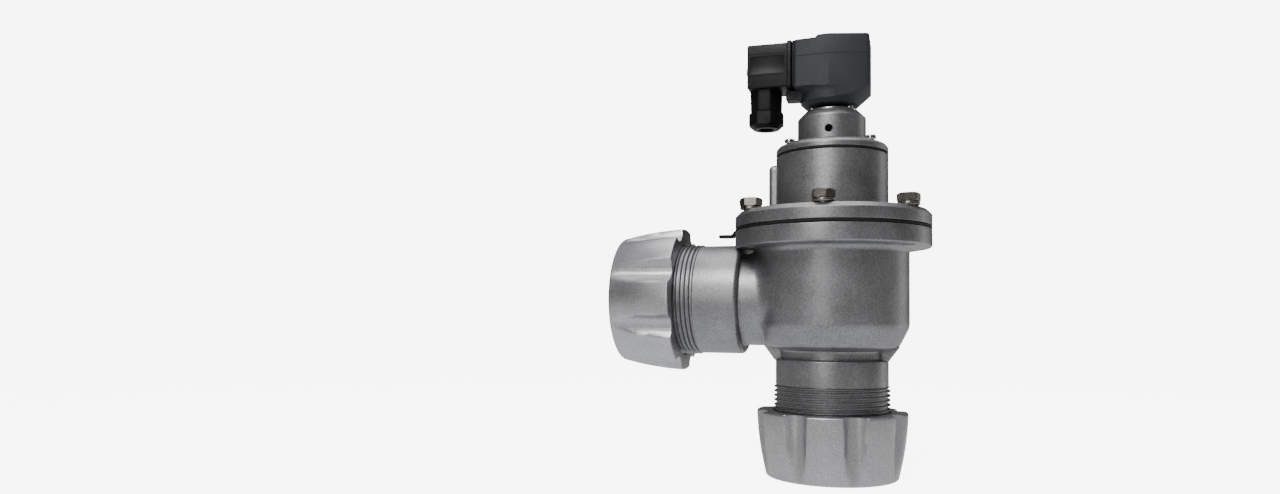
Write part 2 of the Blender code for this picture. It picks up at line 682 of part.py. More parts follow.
def make_bolt_holes(name, bottom, top):
    spread = (BOLT_COUNT, BOLT_CIRCLE / 2, -pi / 2)
    return cylinder(
        name, BOLT_DIAMETER / 2 + SEAT_GAP, bottom - CUT_PAST, top + CUT_PAST, None,
        sides=SMALL_SIDES, spread=spread)


def make_pipe_nut(name, place):
    """Compression nut: bulged outside, eight flutes that run out towards its end."""
    mouth_edge = NUT_EDGE_ROUND / 2
    straight = NUT_LENGTH - mouth_edge - NUT_EDGE_ROUND
    hole = PIPE_RADIUS + NUT_HOLE_PLAY
    outline = [(NUT_BORE_RADIUS, NUT_LENGTH), (NUT_MOUTH_RADIUS - mouth_edge, NUT_LENGTH)]
    side_steps = 5
    for step in range(side_steps + 1):
        share = step / side_steps
        taper = NUT_MOUTH_RADIUS + (NUT_END_RADIUS - NUT_MOUTH_RADIUS) * share
        bulge = 4 * NUT_BULGE * share * (1 - share)
        outline.append((taper + bulge, NUT_LENGTH - mouth_edge - straight * share))
    outline += [
        (NUT_END_RADIUS - NUT_EDGE_ROUND, 0),
        (hole, 0),
        (hole, NUT_END_THICKNESS),
        (NUT_BORE_RADIUS, NUT_END_THICKNESS),
    ]
    nut = turned(name, outline, "nut_metal", **place)
    flute_circle = NUT_MOUTH_RADIUS - FLUTE_DEPTH + FLUTE_RADIUS
    flutes = cylinder(
        f"{name}_flutes", FLUTE_RADIUS, -CUT_PAST, NUT_LENGTH + CUT_PAST, None, sides=FLUTE_SIDES,
        spread=(FLUTE_COUNT, flute_circle, pi / FLUTE_COUNT))
    flutes.location = nut.location
    flutes.rotation_euler = nut.rotation_euler
    cut(nut, flutes)
    return nut


def make_pipe_ring(name, place):
    outline = [
        (SOCKET_RADIUS, RING_START + RING_THICKNESS),
        (THREAD_RADIUS - THREAD_LEAD_IN, RING_START + RING_THICKNESS),
        (THREAD_RADIUS - THREAD_LEAD_IN, RING_START),
        (SOCKET_RADIUS, RING_START),
    ]
    return turned(name, outline, "bright_steel", sides=MEDIUM_SIDES, **place)


def make_pipe_gasket(name, place):
    """Rubber ring whose cone seats in the mouth of the tube."""
    outer = RECESS_RADIUS - SEAT_GAP
    inner = SOCKET_RADIUS - PIPE_PLAY / 2
    cone_start = TUBE_END + GASKET_SEAT_DEPTH + SEAT_GAP - SEAT_GAP * sqrt(2)
    outline = [
        (inner, cone_start + outer - inner),
        (outer, cone_start),
        (outer, GASKET_START),
        (inner, GASKET_START),
    ]
    return turned(name, outline, "rubber", sides=MEDIUM_SIDES, **place)


def make_pipe_end(side, place):
    make_pipe_nut(f"{side}_nut", place)
    make_pipe_ring(f"{side}_ring", place)
    make_pipe_gasket(f"{side}_gasket", place)


def make_main_diaphragm():
    """Flat rim clamped by the flanges, a rolled dip, and a flat middle clamped by the retainer."""
    bottom = MAIN_DIAPHRAGM_Z
    top = bottom + DIAPHRAGM_THICKNESS
    roll_outer = BOWL_INNER_RADIUS - ROLL_FROM_WALL
    roll_inner = RETAINER_RADIUS + ROLL_FROM_RETAINER
    hole = MAIN_RIVET_RADIUS + SEAT_GAP
    steps = 4
    roll = []
    for step in range(steps + 1):
        share = step / steps
        dip = DIAPHRAGM_ROLL_DEPTH * (1 - cos(2 * pi * share)) / 2
        roll.append((roll_inner + (roll_outer - roll_inner) * share, dip))
    upper = [(radius, top - dip) for radius, dip in roll]
    lower = [(radius, bottom - dip) for radius, dip in reversed(roll)]
    outline = [
        (hole, top), *upper, (FLANGE_RADIUS, top), (FLANGE_RADIUS, bottom), *lower, (hole, bottom)]
    diaphragm = turned("main_diaphragm", outline, "rubber")
    tab_root = FLANGE_RADIUS - JOIN_DEPTH
    tab_tip = FLANGE_RADIUS + TAB_REACH
    corner_start = tab_tip - TAB_CORNER_LENGTH
    tip_half_width = TAB_WIDTH / 2 - TAB_CORNER_WIDTH
    tab_outline = [
        (-tab_root, -TAB_WIDTH / 2),
        (-tab_root, TAB_WIDTH / 2),
        (-corner_start, TAB_WIDTH / 2),
        (-tab_tip, tip_half_width),
        (-tab_tip, -tip_half_width),
        (-corner_start, -TAB_WIDTH / 2),
    ]
    tab = plate(
        "diaphragm_tab", tab_outline, TAB_THICKNESS, None,
        location=(0, 0, (bottom + top) / 2))
    join(diaphragm, tab)
    cut(diaphragm, make_bolt_holes("diaphragm_bolt_holes", bottom, top))
    return diaphragm


def make_main_disc_stack():
    retainer_bottom = COVER_Z
    retainer_top = retainer_bottom + RETAINER_THICKNESS
    boss_top = retainer_top + RETAINER_BOSS_HEIGHT
    hole = MAIN_RIVET_RADIUS + SEAT_GAP
    turned("main_retainer", [
        (hole, boss_top),
        (RETAINER_BOSS_RADIUS - EDGE_BREAK, boss_top),
        (RETAINER_BOSS_RADIUS, boss_top - EDGE_BREAK),
        (RETAINER_BOSS_RADIUS, retainer_top),
        (RETAINER_RADIUS - EDGE_BREAK, retainer_top),
        (RETAINER_RADIUS, retainer_top - EDGE_BREAK),
        (RETAINER_RADIUS, retainer_bottom),
        (hole, retainer_bottom),
    ], "bright_steel", sides=MEDIUM_SIDES)
    disc_top = BODY_HEIGHT
    disc_bottom = disc_top - SEAT_DISC_THICKNESS + SEAT_GAP
    disc_radius = SEAT_TUBE_RADIUS
    turned("main_seat_disc", [
        (hole, disc_top),
        (disc_radius, disc_top),
        (disc_radius, disc_bottom),
        (hole, disc_bottom),
    ], "seal_plastic", sides=MEDIUM_SIDES)
    head_top = boss_top + SEAT_GAP + MAIN_RIVET_HEAD_HEIGHT
    tail_bottom = disc_bottom - SEAT_GAP - MAIN_RIVET_HEAD_HEIGHT
    turned("main_rivet", [
        (0, head_top),
        (MAIN_RIVET_HEAD_RADIUS - EDGE_BREAK, head_top),
        (MAIN_RIVET_HEAD_RADIUS, boss_top + SEAT_GAP),
        (MAIN_RIVET_RADIUS, boss_top + SEAT_GAP),
        (MAIN_RIVET_RADIUS, disc_bottom - SEAT_GAP),
        (MAIN_RIVET_HEAD_RADIUS, disc_bottom - SEAT_GAP),
        (MAIN_RIVET_HEAD_RADIUS - EDGE_BREAK, tail_bottom),
        (0, tail_bottom),
    ], "bright_steel", sides=SMALL_SIDES)
    coil_spring(
        "main_spring", MAIN_SPRING_WIRE, MAIN_SPRING_TURNS, retainer_top + SEAT_GAP,
        DECK_UNDERSIDE - SEAT_GAP, MAIN_SPRING_RADIUS, MAIN_SPRING_RADIUS)


def make_cover_housing():
    """Flanged cover: main chamber below, exhaust chamber and pilot nozzle above its deck."""
    fillet_centre = (COVER_RADIUS + COVER_FILLET, COVER_FLANGE_TOP + COVER_FILLET)
    outline = [
        (CHAMBER_RADIUS, COVER_TOP),
        (COVER_RADIUS, COVER_TOP),
        *arc(fillet_centre, COVER_FILLET, 180, 270, 2),
        (FLANGE_RADIUS - COVER_FLANGE_CHAMFER, COVER_FLANGE_TOP),
        (FLANGE_RADIUS, COVER_FLANGE_TOP - COVER_FLANGE_CHAMFER),
        (FLANGE_RADIUS, COVER_Z),
        (BOWL_INNER_RADIUS, COVER_Z),
        (CHAMBER_RADIUS, COVER_Z + COVER_RECESS_DEPTH),
        (CHAMBER_RADIUS, DECK_UNDERSIDE),
        (NOZZLE_BORE_RADIUS, DECK_UNDERSIDE),
        (NOZZLE_BORE_RADIUS, NOZZLE_TOP),
        (NOZZLE_RADIUS - NOZZLE_EDGE_BREAK, NOZZLE_TOP),
        (NOZZLE_RADIUS, NOZZLE_TOP - NOZZLE_EDGE_BREAK),
        (NOZZLE_RADIUS, DECK_TOP),
        (CHAMBER_RADIUS, DECK_TOP),
    ]
    cover = turned("cover_housing", outline, "cast_metal")
    join(cover, make_supply_rib())
    boss_spread = (PILOT_SCREW_COUNT, PILOT_SCREW_CIRCLE / 2, pi / 2)
    join(cover, cylinder(
        "pilot_screw_bosses", SCREW_BOSS_RADIUS, DECK_TOP - COVER_DECK_THICKNESS / 2,
        COVER_TOP - JOIN_INSET, None, sides=SMALL_SIDES, spread=boss_spread))
    cut(cover, make_bolt_holes("cover_bolt_holes", COVER_Z, COVER_FLANGE_TOP))
    hole_bottom = COVER_TOP - PILOT_SCREW_GRIP - SEAT_GAP
    cut(cover, make_pilot_screw_holes("cover_screw_holes", hole_bottom, COVER_TOP + CUT_PAST))
    cut(cover, make_exhaust_port())
    return cover


def make_supply_rib():
    """Upright rib on the inlet side that carries the supply channel."""
    top = COVER_TOP - SUPPLY_RIB_DROP
    outer = COVER_RADIUS + SUPPLY_RIB_STAND_OUT
    inner = COVER_RADIUS - COVER_WALL / 2
    half = SUPPLY_RIB_WIDTH / 2
    return block(
        "supply_rib", (-outer, -half, COVER_FLANGE_TOP - JOIN_DEPTH), (-inner, half, top), None,
        round_edges=SUPPLY_RIB_ROUND, segments=2)


def make_exhaust_port():
    """Round outlet for the exhaust chamber, at the back of the cover."""
    height = (DECK_TOP + COVER_TOP) / 2
    half_length = COVER_WALL / 2 + CUT_PAST
    port = cylinder("exhaust_port", EXHAUST_PORT_RADIUS, -half_length, half_length, None)
    turn = radians(EXHAUST_PORT_TURN)
    port.rotation_euler = (pi / 2, 0, turn)
    reach = COVER_RADIUS - COVER_WALL / 2
    port.location = (-reach * sin(turn), reach * cos(turn), height)
    return port


def make_pilot_screw_holes(name, bottom, top):
    spread = (PILOT_SCREW_COUNT, PILOT_SCREW_CIRCLE / 2, pi / 2)
    return cylinder(
        name, PILOT_SCREW_DIAMETER / 2 + SEAT_GAP, bottom, top, None, sides=TINY_SIDES,
        spread=spread)


def make_pilot_diaphragm():
    bottom = PILOT_DIAPHRAGM_Z
    top = bottom + PILOT_DIAPHRAGM_THICKNESS
    hole = PILOT_RIVET_RADIUS + SEAT_GAP
    outline = [(hole, top), (COVER_RADIUS, top), (COVER_RADIUS, bottom), (hole, bottom)]
    diaphragm = turned("pilot_diaphragm", outline, "rubber")
    holes = make_pilot_screw_holes("pilot_diaphragm_holes", bottom - CUT_PAST, top + CUT_PAST)
    cut(diaphragm, holes)


def make_pilot_disc_stack():
    hole = PILOT_RIVET_RADIUS + SEAT_GAP
    disc_top = PILOT_DIAPHRAGM_Z - SEAT_GAP
    disc_bottom = disc_top - PILOT_SEAT_DISC_THICKNESS
    turned("pilot_seat_disc", [
        (hole, disc_top),
        (PILOT_SEAT_DISC_RADIUS, disc_top),
        (PILOT_SEAT_DISC_RADIUS, disc_bottom + SEAT_GAP),
        (hole, disc_bottom + SEAT_GAP),
    ], "seal_plastic", sides=MEDIUM_SIDES)
    turned("pilot_retainer", [
        (hole, PILOT_RETAINER_TOP),
        (PILOT_RETAINER_RADIUS - SMALL_EDGE_BREAK, PILOT_RETAINER_TOP),
        (PILOT_RETAINER_RADIUS, PILOT_RETAINER_TOP - SMALL_EDGE_BREAK),
        (PILOT_RETAINER_RADIUS, PILOT_COVER_Z),
        (hole, PILOT_COVER_Z),
    ], "bright_steel", sides=MEDIUM_SIDES)
    tail_top = disc_bottom
    turned("pilot_rivet", [
        (0, PILOT_RIVET_TOP),
        (PILOT_RIVET_HEAD_RADIUS - SMALL_EDGE_BREAK, PILOT_RIVET_TOP),
        (PILOT_RIVET_HEAD_RADIUS, PILOT_RETAINER_TOP + SEAT_GAP),
        (PILOT_RIVET_RADIUS, PILOT_RETAINER_TOP + SEAT_GAP),
        (PILOT_RIVET_RADIUS, tail_top),
        (PILOT_RIVET_HEAD_RADIUS, tail_top),
        (PILOT_RIVET_HEAD_RADIUS - SMALL_EDGE_BREAK, tail_top - PILOT_RIVET_HEAD_HEIGHT),
        (0, tail_top - PILOT_RIVET_HEAD_HEIGHT),
    ], "bright_steel", sides=SMALL_SIDES)
    wide = PILOT_RETAINER_RADIUS - 2 * PILOT_SPRING_WIRE
    narrow = PILOT_RIVET_HEAD_RADIUS + 3 * PILOT_SPRING_WIRE
    coil_spring(
        "pilot_spring", PILOT_SPRING_WIRE, PILOT_SPRING_TURNS, PILOT_RETAINER_TOP + SEAT_GAP,
        PILOT_CEILING - SEAT_GAP, wide, narrow, roundness=1)


def make_pilot_cover():
    """Bevelled flange with a round block on it that carries the pilot seat and the vent."""
    edge_top = PILOT_COVER_Z + PILOT_FLANGE_EDGE
    bevel_drop = PILOT_FLANGE_TOP - edge_top
    outline = [
        (PLUNGER_CAVITY_RADIUS, PILOT_TOP),
        (PILOT_BLOCK_RADIUS - PILOT_BLOCK_CHAMFER, PILOT_TOP),
        (PILOT_BLOCK_RADIUS, PILOT_TOP - PILOT_BLOCK_CHAMFER),
        (PILOT_BLOCK_RADIUS, PILOT_FLANGE_TOP + PILOT_BLOCK_FILLET),
        (PILOT_BLOCK_RADIUS + PILOT_BLOCK_FILLET, PILOT_FLANGE_TOP),
        (COVER_RADIUS - PILOT_FLANGE_BEVEL, PILOT_FLANGE_TOP),
        (COVER_RADIUS - PILOT_FLANGE_BEVEL / 3, edge_top + bevel_drop / 2),
        (COVER_RADIUS, edge_top),
        (COVER_RADIUS, PILOT_COVER_Z),
        (PILOT_CHAMBER_RADIUS + PILOT_CHAMBER_FLARE, PILOT_COVER_Z),
        (PILOT_CHAMBER_RADIUS, PILOT_COVER_Z + PILOT_FLANGE_EDGE),
        (PILOT_CHAMBER_RADIUS, PILOT_CEILING),
        (ORIFICE_RADIUS, PILOT_CEILING),
        (ORIFICE_RADIUS, ORIFICE_TOP),
        (ORIFICE_RADIUS + ORIFICE_LIP, ORIFICE_TOP),
        (ORIFICE_RADIUS + ORIFICE_WALL, CAVITY_FLOOR),
        (PLUNGER_CAVITY_RADIUS, CAVITY_FLOOR),
    ]
    cover = turned("pilot_cover", outline, "cast_metal", sides=PILOT_SIDES)
    cut(cover, make_pilot_screw_holes("pilot_cover_holes", PILOT_COVER_Z - CUT_PAST, PILOT_TOP))
    cut(cover, *make_vent())
    screw_bottom = STEM_Z - STEM_SCREW_DEPTH - SEAT_GAP
    cut(cover, make_stem_screw_holes("pilot_stem_holes", screw_bottom, PILOT_TOP + CUT_PAST))
    return cover


def make_vent():
    """Vent drilled in from the front, and the riser that opens it to the plunger's cavity."""
    riser_y = (PLUNGER_CAVITY_RADIUS + ORIFICE_RADIUS + ORIFICE_WALL) / 2
    inner = riser_y - VENT_RISER_RADIUS
    outer = PILOT_BLOCK_RADIUS + CUT_PAST
    vent = cylinder("vent", VENT_RADIUS, -(outer - inner) / 2, (outer - inner) / 2, None)
    vent.rotation_euler = (pi / 2, 0, 0)
    vent.location = (0, -(outer + inner) / 2, VENT_Z)
    riser = cylinder(
        "vent_riser", VENT_RISER_RADIUS, VENT_Z, CAVITY_FLOOR + CUT_PAST, None, sides=TINY_SIDES,
        centre=(0, -riser_y))
    return vent, riser


def make_stem_screw_holes(name, bottom, top):
    spread = (STEM_SCREW_COUNT, STEM_SCREW_CIRCLE / 2, pi / 2)
    return cylinder(
        name, STEM_SCREW_DIAMETER / 2 + SEAT_GAP, bottom, top, None, sides=TINY_SIDES,
        spread=spread)


def make_screw_set(name, count, circle, first_angle, shank, head_bottom, shank_bottom, head):
    """Like screws on a circle: head is (radius, height, sides)."""
    head_radius, head_height, head_sides = head
    pattern = cylinder(
        f"{name}_shank", shank, shank_bottom, head_bottom + head_height / 2, None,
        sides=TINY_SIDES)
    top = cylinder(
        f"{name}_pattern", head_radius, head_bottom, head_bottom + head_height, None,
        sides=head_sides)
    join(top, pattern)
    mesh = evaluated_mesh(top, name)
    bpy.data.objects.remove(top, do_unlink=True)
    bpy.data.objects.remove(pattern, do_unlink=True)
    for index in range(count):
        angle = first_angle + index * 2 * pi / count
        copy = mesh.copy()
        place = (circle / 2 * cos(angle), circle / 2 * sin(angle), 0)
        add_piece(f"{name}_{index + 1}", copy, "steel", place, (0, 0, angle + pi / 2))
    bpy.data.meshes.remove(mesh)


def make_fasteners():
    washer_bottom = COVER_FLANGE_TOP + SEAT_GAP
    washer_top = washer_bottom + SPRING_WASHER_THICKNESS
    hex_radius = BOLT_HEAD_ACROSS_FLATS / sqrt(3)
    make_screw_set(
        "flange_bolt", BOLT_COUNT, BOLT_CIRCLE, -pi / 2, BOLT_DIAMETER / 2,
        washer_top + SEAT_GAP, BODY_FLANGE_UNDERSIDE + BOLT_END_ABOVE_UNDERSIDE,
        (hex_radius, BOLT_HEAD_HEIGHT, 6))
    hole = BOLT_DIAMETER / 2 + SEAT_GAP
    for index, angle in enumerate(bolt_angles(BOLT_COUNT)):
        outline = [
            (hole, washer_top), (SPRING_WASHER_RADIUS, washer_top),
            (SPRING_WASHER_RADIUS, washer_bottom), (hole, washer_bottom)]
        place = (BOLT_CIRCLE / 2 * cos(angle), BOLT_CIRCLE / 2 * sin(angle), 0)
        turned(f"spring_washer_{index + 1}", outline, "steel", sides=SMALL_SIDES, location=place)
    make_screw_set(
        "pilot_screw", PILOT_SCREW_COUNT, PILOT_SCREW_CIRCLE, pi / 2, PILOT_SCREW_DIAMETER / 2,
        PILOT_FLANGE_TOP + SEAT_GAP, COVER_TOP - PILOT_SCREW_GRIP,
        (PILOT_SCREW_HEAD_RADIUS, PILOT_SCREW_HEAD_HEIGHT, SMALL_SIDES))
    make_screw_set(
        "stem_screw", STEM_SCREW_COUNT, STEM_SCREW_CIRCLE, pi / 2, STEM_SCREW_DIAMETER / 2,
        STEM_FLANGE_TOP + SEAT_GAP, STEM_Z - STEM_SCREW_DEPTH,
        (STEM_SCREW_HEAD_RADIUS, STEM_SCREW_HEAD_HEIGHT, SMALL_SIDES))


def make_stem():
    """Flanged armature tube, closed at its top by the fixed core that is pressed into it."""
    groove = STEM_TUBE_RADIUS - CLIP_GROOVE_DEPTH
    stem = turned("stem_tube", [
        (STEM_BORE_RADIUS, STEM_TUBE_TOP),
        (STEM_TUBE_RADIUS, STEM_TUBE_TOP),
        (STEM_TUBE_RADIUS, CLIP_Z + CLIP_THICKNESS + SEAT_GAP),
        (groove, CLIP_Z + CLIP_THICKNESS + SEAT_GAP),
        (groove, CLIP_Z - SEAT_GAP),
        (STEM_TUBE_RADIUS, CLIP_Z - SEAT_GAP),
        (STEM_TUBE_RADIUS, STEM_FLANGE_TOP),
        (STEM_FLANGE_RADIUS, STEM_FLANGE_TOP),
        (STEM_FLANGE_RADIUS, STEM_Z),
        (STEM_BORE_RADIUS, STEM_Z),
    ], "bright_steel", sides=MEDIUM_SIDES)
    cut(stem, make_stem_screw_holes("stem_flange_holes", STEM_Z - CUT_PAST, STEM_FLANGE_TOP + CUT_PAST))
    turned("fixed_core", [
        (0, STEM_TOP),
        (STEM_TUBE_RADIUS - STEM_CAP_EDGE_BREAK, STEM_TOP),
        (STEM_TUBE_RADIUS, STEM_TOP - STEM_CAP_EDGE_BREAK),
        (STEM_TUBE_RADIUS, STEM_TUBE_TOP + SEAT_GAP),
        (PLUNGER_RADIUS, STEM_TUBE_TOP + SEAT_GAP),
        (PLUNGER_RADIUS, CORE_BOTTOM),
        (0, CORE_BOTTOM),
    ], "bright_steel", sides=MEDIUM_SIDES)


def make_plunger():
    spring_seat = PLUNGER_TOP - PLUNGER_SPRING_DEPTH
    pocket_radius = PLUNGER_SEAL_RADIUS + SEAT_GAP
    pocket_top = PLUNGER_BOTTOM + PLUNGER_POCKET_DEPTH
    lower = turned("plunger", [
        (0, spring_seat),
        (PLUNGER_SPRING_BORE, spring_seat),
        (PLUNGER_SPRING_BORE, PLUNGER_TOP),
        (PLUNGER_RADIUS, PLUNGER_TOP),
        (PLUNGER_RADIUS, PLUNGER_BOTTOM),
        (pocket_radius, PLUNGER_BOTTOM),
        (pocket_radius, pocket_top),
        (0, pocket_top),
    ], "bright_steel", sides=MEDIUM_SIDES)
    turned("plunger_seal", [
        (0, SEAL_TOP),
        (PLUNGER_SEAL_RADIUS, SEAL_TOP),
        (PLUNGER_SEAL_RADIUS, SEAL_BOTTOM),
        (0, SEAL_BOTTOM),
    ], "rubber", sides=SMALL_SIDES)
    spring_radius = PLUNGER_SPRING_BORE - SLIDE_GAP - PLUNGER_SPRING_WIRE
    coil_spring(
        "plunger_spring", PLUNGER_SPRING_WIRE, PLUNGER_SPRING_TURNS, spring_seat + SEAT_GAP,
        CORE_BOTTOM - SEAT_GAP, spring_radius, spring_radius, roundness=1)
    return lower


def make_stem_rings():
    """The seal under the coil, and the snap ring that holds the coil on the stem."""
    inner = STEM_TUBE_RADIUS + SEAT_GAP
    outer = inner + STEM_SEAL_WIDTH
    bottom = STEM_FLANGE_TOP + SEAT_GAP
    top = bottom + STEM_SEAL_THICKNESS
    turned("stem_seal", [
        (inner, top), (outer, top), (outer, bottom), (inner, bottom)],
        "rubber", sides=MEDIUM_SIDES)
    clip_inner = STEM_TUBE_RADIUS - CLIP_GROOVE_DEPTH + SEAT_GAP
    clip_outer = STEM_TUBE_RADIUS + CLIP_WIDTH
    turned("coil_clip", [
        (clip_inner, CLIP_Z + CLIP_THICKNESS),
        (clip_outer, CLIP_Z + CLIP_THICKNESS),
        (clip_outer, CLIP_Z),
        (clip_inner, CLIP_Z),
    ], "bright_steel", sides=MEDIUM_SIDES)


def coil_outline():
    """Plan of the coil block: two slightly angled flats on each side, widest at the stem."""
    return [
        (-COIL_LEFT, -COIL_LEFT_HALF_DEPTH),
        (0, -COIL_MIDDLE_HALF_DEPTH),
        (COIL_RIGHT, -COIL_RIGHT_HALF_DEPTH),
        (COIL_RIGHT, COIL_RIGHT_HALF_DEPTH),
        (0, COIL_MIDDLE_HALF_DEPTH),
        (-COIL_LEFT, COIL_LEFT_HALF_DEPTH),
    ]


def make_coil_housing():
    """Moulded coil block over a round skirt, with the foot that carries the plug on its left."""
    upper_height = COIL_TOP - SKIRT_TOP
    coil = plate(
        "coil_housing", coil_outline(), upper_height, "coil_plastic",
        location=(0, 0, SKIRT_TOP + upper_height / 2))
    add_bevel(coil, COIL_EDGE_ROUND, 2)
    skirt = turned("coil_skirt", [
        (0, SKIRT_TOP + JOIN_DEPTH),
        (COIL_SKIRT_RADIUS, SKIRT_TOP + JOIN_DEPTH),
        (COIL_SKIRT_RADIUS, COIL_Z + COIL_SKIRT_CHAMFER),
        (COIL_SKIRT_RADIUS - COIL_SKIRT_CHAMFER, COIL_Z),
        (0, COIL_Z),
    ], None, sides=MEDIUM_SIDES)
    cheek_half = COIL_RIGHT_HALF_DEPTH - JOIN_INSET
    cheek = block(
        "coil_cheek", (COIL_CHEEK_START, -cheek_half, COIL_Z + JOIN_INSET),
        (COIL_RIGHT - JOIN_INSET, cheek_half, SKIRT_TOP + COIL_CHEEK_OVERLAP + JOIN_INSET), None,
        round_edges=COIL_SKIRT_CHAMFER)
    rib = block(
        "coil_rib", (-COIL_LEFT + JOIN_INSET, -COIL_RIB_WIDTH / 2, COIL_Z + COIL_RIB_LIFT),
        (-COIL_SKIRT_RADIUS / 2, COIL_RIB_WIDTH / 2, SKIRT_TOP + COIL_CHEEK_OVERLAP), None)
    lug_top = PLUG_Z - PLUG_FLANGE_SIZE / 2 - SEAT_GAP
    lug = block(
        "coil_lug", (-COIL_LEFT - COIL_LUG_REACH, -COIL_LUG_WIDTH / 2, COIL_Z + COIL_LUG_LIFT),
        (-COIL_LEFT + JOIN_DEPTH, COIL_LUG_WIDTH / 2, lug_top), None)
    join(coil, skirt, cheek, rib, lug)
    step_half = COIL_MIDDLE_HALF_DEPTH + CUT_PAST
    step = block(
        "coil_step", (-COIL_LEFT - CUT_PAST, -step_half, COIL_TOP - COIL_STEP_DEPTH),
        (-COIL_STEP_FROM_AXIS, step_half, COIL_TOP + CUT_PAST), None)
    bore_radius = STEM_TUBE_RADIUS + SEAT_GAP
    groove_radius = STEM_TUBE_RADIUS + CLIP_WIDTH + SEAT_GAP
    bore = turned("coil_bore", [
        (0, STEM_TOP + SEAT_GAP),
        (bore_radius, STEM_TOP + SEAT_GAP),
        (bore_radius, CLIP_Z + CLIP_THICKNESS + SEAT_GAP),
        (groove_radius, CLIP_Z + CLIP_THICKNESS + SEAT_GAP),
        (groove_radius, CLIP_Z - SEAT_GAP),
        (bore_radius, CLIP_Z - SEAT_GAP),
        (bore_radius, COIL_Z - CUT_PAST),
        (0, COIL_Z - CUT_PAST),
    ], None, sides=MEDIUM_SIDES)
    cut(coil, make_plug_screw_hole("coil_screw_hole"), step, bore)
    return coil


def make_plug_screw_hole(name):
    radius = PLUG_SCREW_DIAMETER / 2 + SEAT_GAP
    inner = -COIL_LEFT + PLUG_SCREW_GRIP + SEAT_GAP
    outer = PLUG_END_X - CUT_PAST
    hole = cylinder(name, radius, 0, inner - outer, None, sides=TINY_SIDES)
    hole.rotation_euler = (0, pi / 2, 0)
    hole.location = (outer, 0, PLUG_Z)
    return hole


def blade_places():
    """Two live blades stand upright beside the screw, and the earth blade lies below it."""
    return {
        "terminal_front": ((0, -BLADE_SPREAD, PLUG_Z), False),
        "terminal_back": ((0, BLADE_SPREAD, PLUG_Z), False),
        "terminal_earth": ((0, 0, PLUG_Z - BLADE_SPREAD), True),
    }


def make_blade(name, margin, start, length, kind):
    (_, y, z), flat = blade_places()[name.removesuffix("_slot")]
    half_width = BLADE_WIDTH / 2 + margin
    half_thickness = BLADE_THICKNESS / 2 + margin
    half_y = half_width if flat else half_thickness
    half_z = half_thickness if flat else half_width
    low = (start - length, y - half_y, z - half_z)
    high = (start, y + half_y, z + half_z)
    return block(name, low, high, kind)


def make_plug():
    """Right-angle plug: shell with a flange, gasket, terminal insert, blades and centre screw."""
    side = PLUG_BLOCK_WIDTH / 2
    end = PLUG_BLOCK_HEIGHT / 2
    flange_half = PLUG_FLANGE_SIZE / 2
    shell = block(
        "plug_housing", (PLUG_END_X, -side, PLUG_Z - end),
        (PLUG_BLOCK_X + JOIN_DEPTH, side, PLUG_Z + end), "plug_plastic", round_edges=PLUG_EDGE_ROUND)
    flange = block(
        "plug_flange", (PLUG_BLOCK_X, -flange_half, PLUG_Z - flange_half),
        (PLUG_FACE_X, flange_half, PLUG_Z + flange_half), None, round_edges=PLUG_EDGE_ROUND)
    neck_top = PLUG_Z - end + PLUG_WALL
    neck = cylinder(
        "gland_neck", GLAND_NECK_RADIUS, GLAND_NECK_END_Z, neck_top, None, centre=(GLAND_X, 0))
    spigot = cylinder(
        "gland_spigot", GLAND_SPIGOT_RADIUS, GLAND_SPIGOT_END_Z, GLAND_NECK_END_Z + JOIN_DEPTH,
        None, centre=(GLAND_X, 0))
    join(shell, flange, neck, spigot)
    cavity = block(
        "plug_cavity", (PLUG_CAVITY_END_X, -PLUG_CAVITY_HALF_WIDTH, PLUG_Z - PLUG_CAVITY_HALF_HEIGHT),
        (PLUG_FACE_X + CUT_PAST, PLUG_CAVITY_HALF_WIDTH, PLUG_Z + PLUG_CAVITY_HALF_HEIGHT), None)
    bore = cylinder(
        "gland_bore", GLAND_BORE_RADIUS, GLAND_SPIGOT_END_Z - CUT_PAST,
        PLUG_Z - PLUG_CAVITY_HALF_HEIGHT + CUT_PAST, None, centre=(GLAND_X, 0))
    cut(shell, cavity, bore, make_plug_screw_hole("plug_screw_hole"), *make_panels())
    make_plug_gasket()
    make_terminal_insert()
    for name in blade_places():
        make_blade(name, 0.0, -COIL_LEFT - SEAT_GAP, BLADE_LENGTH, "brass")
    make_plug_screw()


def make_panels():
    """Shallow plain fields in the plug's two broad faces."""
    half = PLUG_BLOCK_WIDTH / 2
    end = PLUG_BLOCK_HEIGHT / 2
    panels = []
    for side, sign in (("front", -1), ("back", 1)):
        inner = sign * (half - PANEL_DEPTH)
        outer = sign * (half + CUT_PAST)
        panels.append(block(
            f"{side}_panel",
            (PLUG_END_X + PANEL_MARGIN, min(inner, outer), PLUG_Z - end + 2 * PANEL_MARGIN),
            (PLUG_BLOCK_X - PANEL_MARGIN, max(inner, outer), PLUG_Z + end - PANEL_MARGIN), None))
    return panels


def make_plug_gasket():
    half = PLUG_FLANGE_SIZE / 2 - PLUG_EDGE_ROUND / 2
    window_half = half - PLUG_GASKET_RIM
    far_face = PLUG_GASKET_X - PLUG_GASKET_THICKNESS
    gasket = block(
        "plug_gasket", (far_face, -half, PLUG_Z - half), (PLUG_GASKET_X, half, PLUG_Z + half), "rubber")
    window = block(
        "gasket_window", (far_face - CUT_PAST, -window_half, PLUG_Z - window_half),
        (PLUG_GASKET_X + CUT_PAST, window_half, PLUG_Z + window_half), None)
    cut(gasket, window)


